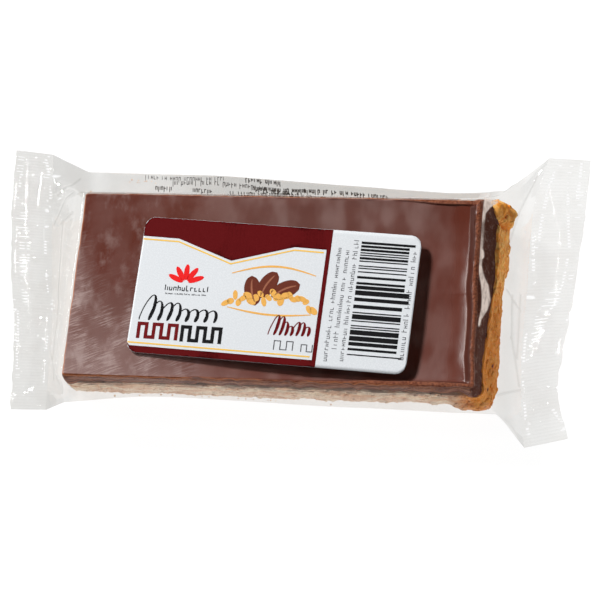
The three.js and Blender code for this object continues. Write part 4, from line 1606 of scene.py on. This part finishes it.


# %% [markdown]
# ## The chocolate's finish
#
# Poured chocolate is smooth and dark. Where the film has stuck to it and come off again it is hazy
# with pale streaks, and where it was cut it is rough and paler. The pale haze is partly real smears
# and partly a painted sheen, a paler patch in the tray near the back is painted sheen, and the short
# walls inside the rim are painted dark as shade. A painted picture could show that, but it would
# blur close up, so noise makes the patches and streaks. The values kept at the points say where the
# cut, the walls and the edges are, and two surfaces with more and with less mirror are mixed for
# the shiny parts and the dull ones.

# %% Chocolate
def chocolate_finish():
    """Smooth brown with duller patches, with a pale haze at the left where the film has stuck to it,
    partly real smears and partly painted sheen, and a painted sheen near the back; rough and lighter
    where the cut attribute is 1, painted shade where the wall attribute is, warm where the edge
    attribute is, and duller down the sides."""
    f = Finish("chocolate")
    here = f.place()
    x, y, z = f.parts(here)
    cut, wall = f.attribute("cut"), f.attribute("wall")
    flat = f.scaled(here, (1, 1, 0))
    speck = f.noise(here, 0.6, 5.0, 0.7)
    patch = f.noise(f.scaled(flat, (1, 0.55, 0)), 7.0, 2.0).between(0.36, 0.66)
    cloud = f.noise(f.scaled(flat, (1, 0.6, 0)), 4.5, 5.0, 0.6).between(0.47, 0.76)
    drift = f.noise(flat, 14.0, 1.0) * 3
    turned = f.parts(f.place(turn=math.radians(-22)))
    streak_place = f.node("ShaderNodeCombineXYZ", {}, {"X": turned[0] * 0.07, "Y": turned[1] + drift})
    streaks = f.noise(streak_place, 0.36, 5.0, 0.7).between(0.46, 0.68)
    scraped = f.noise(flat, 8.0, 2.0).between(0.36, 0.6)
    stuck = 1 - x.between(-46, -8)
    near = 1 - y.between(-16, 8)
    at_left = (1 - x.between(-55, -49)) * y.between(-16, -6) * (1 - y.between(8, 18))
    edge_haze = (1 - y.between(-25, -12)) * (1 - x.between(-50, 5))
    # The pale haze: partly real smears where the film stuck, partly painted sheen of light mirrored there.
    near_bloom_and_sheen = near * (0.3 + cloud * 0.15 + 1.2 * streaks * scraped)
    bloom_and_sheen = stuck * (cloud * (0.38 - 0.24 * near) + near_bloom_and_sheen) + edge_haze * (0.16 + 0.4 * cloud)
    bloom_and_sheen = bloom_and_sheen + at_left * (0.14 + 0.5 * cloud + 0.35 * streaks)
    # A paler, greyer patch in the tray near the back: painted sheen.
    back_painted_sheen = y.between(10, 20) * x.between(-25, -5) * (1 - x.between(36, 50))
    mid = x.between(-46, -20) * (1 - x.between(30, 50))
    smooth = f.blend(patch, (0.145, 0.031, 0.0175), (0.165, 0.041, 0.025))
    pale_bloom_and_sheen = bloom_and_sheen + mid * 0.02 + back_painted_sheen * (0.12 + patch * 0.2)
    at_strip = x.between(45, 50)
    left = (1 - x.between(-42, -14)) * (1 - edge_haze * 0.6)
    smooth = f.blend(left * 0.8, smooth, (0.135, 0.026, 0.014))
    # Real smears and painted sheen, blended in as a pale colour.
    smooth = f.blend(pale_bloom_and_sheen.clamped(), smooth, (0.44, 0.31, 0.29))
    # Painted shade: the short wall inside the rim is darkened.
    smooth = f.blend(wall * 0.8, smooth, (0.045, 0.010, 0.006))
    rough = f.blend(speck.between(0.3, 0.72), (0.12, 0.027, 0.014), (0.40, 0.135, 0.065))
    height = f.noise(here, 1.1, 4.0) * (0.02 + cut * 0.5)
    edge = f.attribute("edge")
    sharp = (0.56, 0.18, 0.06)
    top_look = {
        "base_color": f.blend(edge * 0.8, f.blend(cut, smooth, rough), sharp),
        "roughness": 0.32 - left * 0.06 - at_strip * 0.12 + patch * 0.18 * (1 - at_strip)
        + bloom_and_sheen * 0.1 + (cut + wall).clamped() * 0.3,
        "normal": f.bump(height, 0.7, 0.3),
    }
    shiny, dull = (f.surface(specular_ior_level=level, **top_look) for level in (0.5, 0.1))
    top = f.mixed((cut * 0.75 + left * 0.55).clamped(), shiny, dull)
    on_top = z.between(19.0, 19.45)
    inside = (1 - y.between(25.0, 25.4)) * y.between(-25.4, -25.0) * (1 - x.between(54.2, 54.8))
    lines = f.noise(f.scaled(here, (0.25, 0.25, 2.2)), 1.6, 4.0, 0.6)
    warm = f.blend(lines.between(0.38, 0.66), (0.13, 0.035, 0.02), (0.42, 0.17, 0.09))
    fleck = f.noise(f.scaled(here, (1, 0.6, 1)), 0.8, 3.0).between(0.58, 0.68)
    dark_flank = f.blend(fleck * 0.4, (0.075, 0.017, 0.008), (0.34, 0.23, 0.20))
    sides = f.blend(x.between(54, 55) * 0.9, warm, dark_flank)
    # The wall is darkened here too, as painted shade.
    flank = f.surface(
        base_color=f.blend(edge * 0.8, f.blend(wall * inside, sides, (0.085, 0.018, 0.009)), sharp),
        roughness=0.55 + lines * 0.2,
        specular_ior_level=0.1,
        normal=f.bump(lines + speck * 0.3, 0.6, 0.3),
    )
    return f.done(f.mixed(on_top.maximum(inside) * (1 - wall * 0.85), flank, top))


dress([chocolate], chocolate_finish())


# %% [markdown]
# ## The oats' finish
#
# Baked oats are golden brown where the syrup lies thick and pale where a flake shows its cut face,
# and chocolate stains them here and there. Light that spreads inside the flakes could be worked
# out too, but it takes long and hardly shows through film. So only the colour varies: small cells
# give neighbouring spots different tones, and each flake has a tone of its own as well.

# %% Oats
def oats_finish(name, flaky):
    """Golden brown, darker in the hollows, with stains of chocolate, and pale along the front,
    the left end and the back. flaky says that each flake carries a tone of its own."""
    f = Finish(name)
    here = f.place()
    x, y, z = f.parts(here)
    broad = f.noise(here, 4.0, 3.0)
    fine = f.noise(here, 0.8, 4.0, 0.6)
    dark, gold, bright = (0.72, 0.21, 0.022), (0.93, 0.35, 0.035), (1.0, 0.58, 0.16)
    cells = {"Vector": here, "Scale": 1 / 1.5}
    grain = f.node("ShaderNodeTexVoronoi", {}, cells, "Distance")
    own_tone = f.parts(f.node("ShaderNodeTexVoronoi", {}, cells, "Color"))[0]
    colour = f.blend(fine.between(0.25, 0.6), dark, gold)
    colour = f.blend(own_tone.between(0.3, 1.0) * 0.8, colour, bright)
    colour = f.blend(grain.between(0.5, 0.85) * 0.4, colour, dark)
    if flaky:
        tone = f.attribute("tone")
        colour = f.blend(tone * 0.7 * fine.between(0.2, 0.6), colour, bright)
    stain = f.noise(here, 3.0, 1.0).between(0.72, 0.77)
    low_end = 1 - y.between(-8, 12)
    colour = f.blend(low_end * 0.55, colour, (0.72, 0.19, 0.012))
    colour = f.blend(broad.between(0.5, 0.75) * 0.3, colour, dark)
    colour = f.blend(stain, colour, (0.20, 0.04, 0.025))
    front = 1 - y.between(-25.0, -22.5)
    smudge = f.noise(f.scaled(here, (0.35, 1, 1)), 1.8, 3.0).between(0.38, 0.62)
    pale = f.blend(smudge, (0.84, 0.53, 0.35), (1.0, 0.85, 0.66))
    pale_front = front * (1 - x.between(46, 54)) * 0.94
    pale_end = (1 - x.between(-56.5, -53)) * 0.75
    pale_back = y.between(20, 24) * (1 - x.between(10, 54)) * 0.65
    colour = f.blend(pale_front.maximum(pale_end).maximum(pale_back), colour, pale)
    drawn_out = f.noise(f.scaled(here, (0.3, 1, 1)), 1.6, 4.0).between(0.4, 0.56)
    smear = front * z.between(10.5, 13.6) * drawn_out
    colour = f.blend(smear * (1 - x.between(50, 54)) * 0.7, colour, (0.30, 0.14, 0.10))
    height = fine * 0.5 + (1 - grain) * 0.8 + f.noise(f.scaled(here, (1, 1, 3)), 1.6, 3.0) * 0.5
    return f.done(f.surface(
        base_color=colour,
        roughness=0.55 + fine * 0.25,
        specular_ior_level=0.25,
        normal=f.bump(height, 0.25, 0.3),
    ))


dress([core], oats_finish("baked_oats_core", False))
dress([flakes, loose_crumbs], oats_finish("rolled_oats", True))


# %% [markdown]
# ## The film's finish
#
# Light goes straight through thin film, and only a mirror image is added to it, faint where the
# film is looked at squarely and strong where it is looked along. A glass shader would bend the
# light as a thick block does. So a transparent and a glossy shader are mixed, by the share that
# a thin plate mirrors. Then come grey where the film hangs in layers, painted shade along its
# creases and ribs, a painted glare in white over the right end's facet, a painted reflection of
# the floor low on its front, and painted glints.

# %% Film
def film_finish(name, roughness, haze, grey, gloss):
    """Clear film: see-through, with a mirror's share that grows as it is looked along. It mirrors
    less where it sticks to what is inside, it is greyer at its ends and over the flap, with painted
    shade along its creases and ribs. It carries a painted glare in white over the right end's facet
    and a painted reflection of the floor low on its front. The painted glints lie on top."""
    f = Finish(name)
    here = f.place()
    x, y, z = f.parts(here)
    facing = f.node("ShaderNodeLayerWeight", {}, {"Blend": 0.5}, "Facing")
    one_side = 0.04 + 0.96 * facing ** 5
    both_sides = 2 * one_side / (1 + one_side)
    stuck_front = (1 - y.between(-26.3, -25.0)) * x.between(-59, -55) * (1 - x.between(56, 59))
    stuck_end = x.between(54, 55) * (1 - x.between(62, 66)) * y.between(-30, -27)
    stuck_left = (1 - x.between(-56.4, -53.5)) * x.between(-59, -57.6) * z.between(17, 19)
    loose = (1 - 0.85 * stuck_front) * (1 - 0.96 * stuck_end) * (1 - 0.93 * stuck_left)
    cloud = f.noise(here, 6.0, 3.0)
    dull = grey + 0.3 * cloud.between(0.35, 0.7) * grey + 0.24 * (1 - x.between(-60, -56))
    flap = y.between(26, 29) * (1 - x.between(52, 60)) * x.between(-60, -50)
    # Painted shade: the film is greyer along its creases and, faintly, on its ribs.
    dull = dull + flap * (0.15 + 0.36 * x.between(-45, -15)) + 0.5 * f.attribute("fold")
    dull = dull + 0.14 * x.between(58, 60) * (1 - x.between(62.5, 65.5)) + 0.04 * f.attribute("rib")
    bright = f.node("ShaderNodeBsdfTransparent", {}, {"Color": (0.975, 0.975, 0.97)})
    smoke = f.node("ShaderNodeBsdfTransparent", {}, {"Color": (0.70, 0.695, 0.68)})
    clear = f.mixed(dull.clamped(), bright, smoke)
    shine = f.node("ShaderNodeBsdfAnisotropic", {}, {"Color": (1.0, 1.0, 1.0), "Roughness": roughness})
    matt = f.node("ShaderNodeBsdfDiffuse", {}, {"Color": (0.92, 0.82, 0.75)})
    # An emission in the pale layer: it paints the glare over the facet and the floor's reflection low on the
    # front, and brightens the film's faint real haze.
    painted_glow = f.node("ShaderNodeEmission", {}, {"Color": (0.75, 0.62, 0.54), "Strength": 1.0})
    haze_and_painted_glare = f.mixed(0.6, matt, painted_glow)
    # Painted glints: white emission where the gleam value is 1.
    painted_glint = f.node("ShaderNodeEmission", {}, {"Color": (1.0, 1.0, 1.0), "Strength": 1.0})
    torn = f.noise(f.scaled(here, (1, 0.4, 1)), 0.9, 3.0).between(0.3, 0.6)
    # The painted glare, broken up by noise.
    white = f.attribute("white") * (0.6 + 0.4 * torn)
    glossy = f.mixed(both_sides * loose * gloss, clear, shine)
    # Painted reflection of the pale floor: a pale layer low on the film's front.
    painted_floor_reflection = 0.2 * stuck_front * z.between(1, 3) * (1 - z.between(10, 13)) * (1 - x.between(44, 52))
    haze_and_glare_share = cloud.between(0.35, 0.8) * haze + white + painted_floor_reflection
    cloudy = f.mixed(haze_and_glare_share.clamped(), glossy, haze_and_painted_glare)
    return f.done(f.mixed(f.attribute("gleam") * 0.9, cloudy, painted_glint))


dress([film], film_finish("clear_film", 0.05, 0.01, 0.2, 0.85))
dress([left_fin, right_fin, back_seam], film_finish("crimped_film", 0.06, 0.03, 0.17, 0.25))


# %% [markdown]
# The print on the back is thin black ink on film, worn through in places. A dark colour blended
# with a slightly lighter one by noise is enough for strokes this small.

# %% Back print
def back_print_finish():
    """Thin black ink, worn through in places."""
    f = Finish("back_ink")
    worn = f.noise(f.place(), 1.2, 3.0)
    colour = f.blend(worn, (0.02, 0.02, 0.02), (0.09, 0.08, 0.08))
    return f.done(f.surface(base_color=colour, roughness=0.5))


dress([back_print], back_print_finish())


# %% [markdown]
# ## Paper and inks
#
# The label is coated paper: nearly white, smooth, with a faint grain that a small bump shows in
# its highlights. Each ink is a piece of its own, so its finish is one colour with that grain in
# it, and a table that gives every ink its colour says it all.

# %% Label paper
def paper_finish():
    """Smooth coated paper with a faint grain."""
    f = Finish("label_paper")
    grain = f.noise(f.place(), 0.35, 3.0)
    colour = f.blend(grain, (0.665, 0.69, 0.715), (0.72, 0.74, 0.76))
    relief = f.bump(grain, 0.15, 0.02)
    return f.done(f.surface(base_color=colour, roughness=0.22 + grain * 0.1, normal=relief))


dress([label], paper_finish())

# %% Inks
def ink_finish(name, colour):
    """Printed ink: an even colour with the paper's fine grain in it."""
    f = Finish(name)
    grain = f.noise(f.place(), 0.3, 2.0)
    dark, light = (tuple(c * k for c in colour) for k in (0.8, 1.2))
    mottled = f.blend(grain, dark, light)
    return f.done(f.surface(base_color=mottled, roughness=0.12 + 0.1 * grain, specular_ior_level=0.35))


INKS = {
    "print_maroon_fields": (0.108, 0.006, 0.007),
    "print_maroon_words": (0.15, 0.010, 0.012),
    "print_gold_lines": (0.86, 0.53, 0.10),
    "print_flakes": (0.80, 0.42, 0.10),
    "print_beans": (0.14, 0.035, 0.022),
    "print_seams": (0.32, 0.12, 0.07),
    "print_red": (0.80, 0.02, 0.02),
    "print_black": (0.012, 0.012, 0.013),
    "print_grey": (0.10, 0.10, 0.11),
}
for piece in PIECES:
    if piece.name in INKS:
        dress([piece], ink_finish(piece.name.replace("print", "ink"), INKS[piece.name]))
        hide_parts("front_label")

# %% [markdown]
# ## What replaces what
#
# The imported model's two solids only stand for the pieces made here, so both are hidden from
# the render: the pack here, and the label both here and where the inks were dressed.

# %% What replaces what
for piece in (core, flakes, loose_crumbs, chocolate, film, left_fin, right_fin, back_seam, back_print):
    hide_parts("film_pack")
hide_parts("front_label")

# %% [markdown]
# ## The stage
#
# The floor glows a little, like a light table, so that the film is seen against white from
# every side. The main light is a soft box behind the bar's left end, with a small panel beside
# it, and a large low panel at the right lights the film's bent edges. The walls round it all are
# bright near the floor and dark overhead, which is what the film's slopes mirror.

# %% Floor and lights
FLOOR_SIZE, FLOOR_GLOW = 8.0, 0.96
WORLD_HEIGHTS, WORLD_LIGHT = (0.2, 0.7), (0.72, 0.07)


def stage_floor():
    """A large pale floor with a faint glow of its own."""
    bpy.ops.mesh.primitive_plane_add(size=FLOOR_SIZE, location=(0, 0, 0))
    floor = bpy.context.object
    floor.name = "floor"
    f = Finish("pale_floor")
    grey, white = (0.10, 0.10, 0.10), (1.0, 1.0, 1.0)
    shader = f.surface(base_color=grey, roughness=0.9, emission_color=white, emission_strength=FLOOR_GLOW)
    floor.data.materials.append(f.done(shader))
    floor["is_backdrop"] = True


def soft_box(name, azimuth, elevation, distance, width, height, watts):
    """An area light that faces the bar, sizes in metres. Azimuth 0 is along +X and 90 along +Y."""
    a, e = math.radians(azimuth), math.radians(elevation)
    away = Vector((math.cos(a) * math.cos(e), math.sin(a) * math.cos(e), math.sin(e)))
    data = bpy.data.lights.new(name, "AREA")
    data.shape, data.size, data.size_y, data.energy = "RECTANGLE", width, height, watts
    light = bpy.data.objects.new(name, data)
    light.location = away * distance
    light.rotation_euler = away.to_track_quat("Z", "Y").to_euler()
    bpy.context.scene.collection.objects.link(light)


stage_floor()
soft_box("key_box", 136, 37, 2.2, 0.36, 0.36, 70)
soft_box("left_panel", 158, 46, 1.6, 0.2, 0.4, 4.5)
soft_box("right_wall", -32, 22, 1.2, 2.6, 1.2, 9.4)


def studio_world():
    """Walls that are bright near the floor and dark overhead, blended by the view's height."""
    world = bpy.data.worlds.new("studio")
    world.use_nodes = True
    nodes, links = world.node_tree.nodes, world.node_tree.links
    where = nodes.new("ShaderNodeTexCoord")
    height = nodes.new("ShaderNodeSeparateXYZ")
    shade = nodes.new("ShaderNodeMapRange")
    shade.interpolation_type = "SMOOTHSTEP"
    for socket, value in zip(("From Min", "From Max", "To Min", "To Max"), WORLD_HEIGHTS + WORLD_LIGHT):
        shade.inputs[socket].default_value = value
    links.new(where.outputs["Generated"], height.inputs[0])
    links.new(height.outputs["Z"], shade.inputs["Value"])
    links.new(shade.outputs["Result"], nodes["Background"].inputs["Strength"])
    bpy.context.scene.world = world


studio_world()

# %% [markdown]
# The camera looks through a long lens from above the bar's front right corner, and is rolled so
# that the bar lies level in the picture.

# %% Camera
CAMERA_AZIMUTH, CAMERA_ELEVATION, CAMERA_ROLL = 37.52, 70.23, -34.34
CAMERA_DISTANCE, CAMERA_LENS = 701.6, 156.0
CAMERA_TARGET = np.array([5.4, -0.35, 10.0])


def long_lens_camera():
    """Placed by two angles and a distance from its target; rolled by a third angle."""
    a, e = math.radians(CAMERA_AZIMUTH), math.radians(CAMERA_ELEVATION)
    back = Vector((math.sin(a) * math.cos(e), -math.cos(a) * math.cos(e), math.sin(e)))
    data = bpy.data.cameras.new("camera")
    data.lens, data.sensor_width = CAMERA_LENS, 36.0
    data.clip_start, data.clip_end = 0.05, 20.0
    camera = bpy.data.objects.new("camera", data)
    camera.location = Vector((CAMERA_TARGET + BAR_MIDDLE) * MM) + back * CAMERA_DISTANCE * MM
    up = Vector((0, 0, 1)) - back * back.z
    up.normalize()
    right = up.cross(back)
    basis = Matrix((right, up, back)).transposed()
    camera.rotation_euler = (basis @ Matrix.Rotation(math.radians(CAMERA_ROLL), 3, "Z")).to_euler()
    bpy.context.scene.collection.objects.link(camera)
    bpy.context.scene.camera = camera


long_lens_camera()
bpy.context.scene.view_settings.view_transform = "Standard"

# %% [markdown]
# ## Sizes
#
# The box round all the pieces is measured and printed, and kept beside the imported model's box, so
# that the two can be compared.

# %% Measure the sizes and print them
boxes = [[list(corner) for corner in box] for box in (CAD_BOX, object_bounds())]
print("visual box, mm:", [[round(c / MM, 1) for c in corner] for corner in boxes[1]])
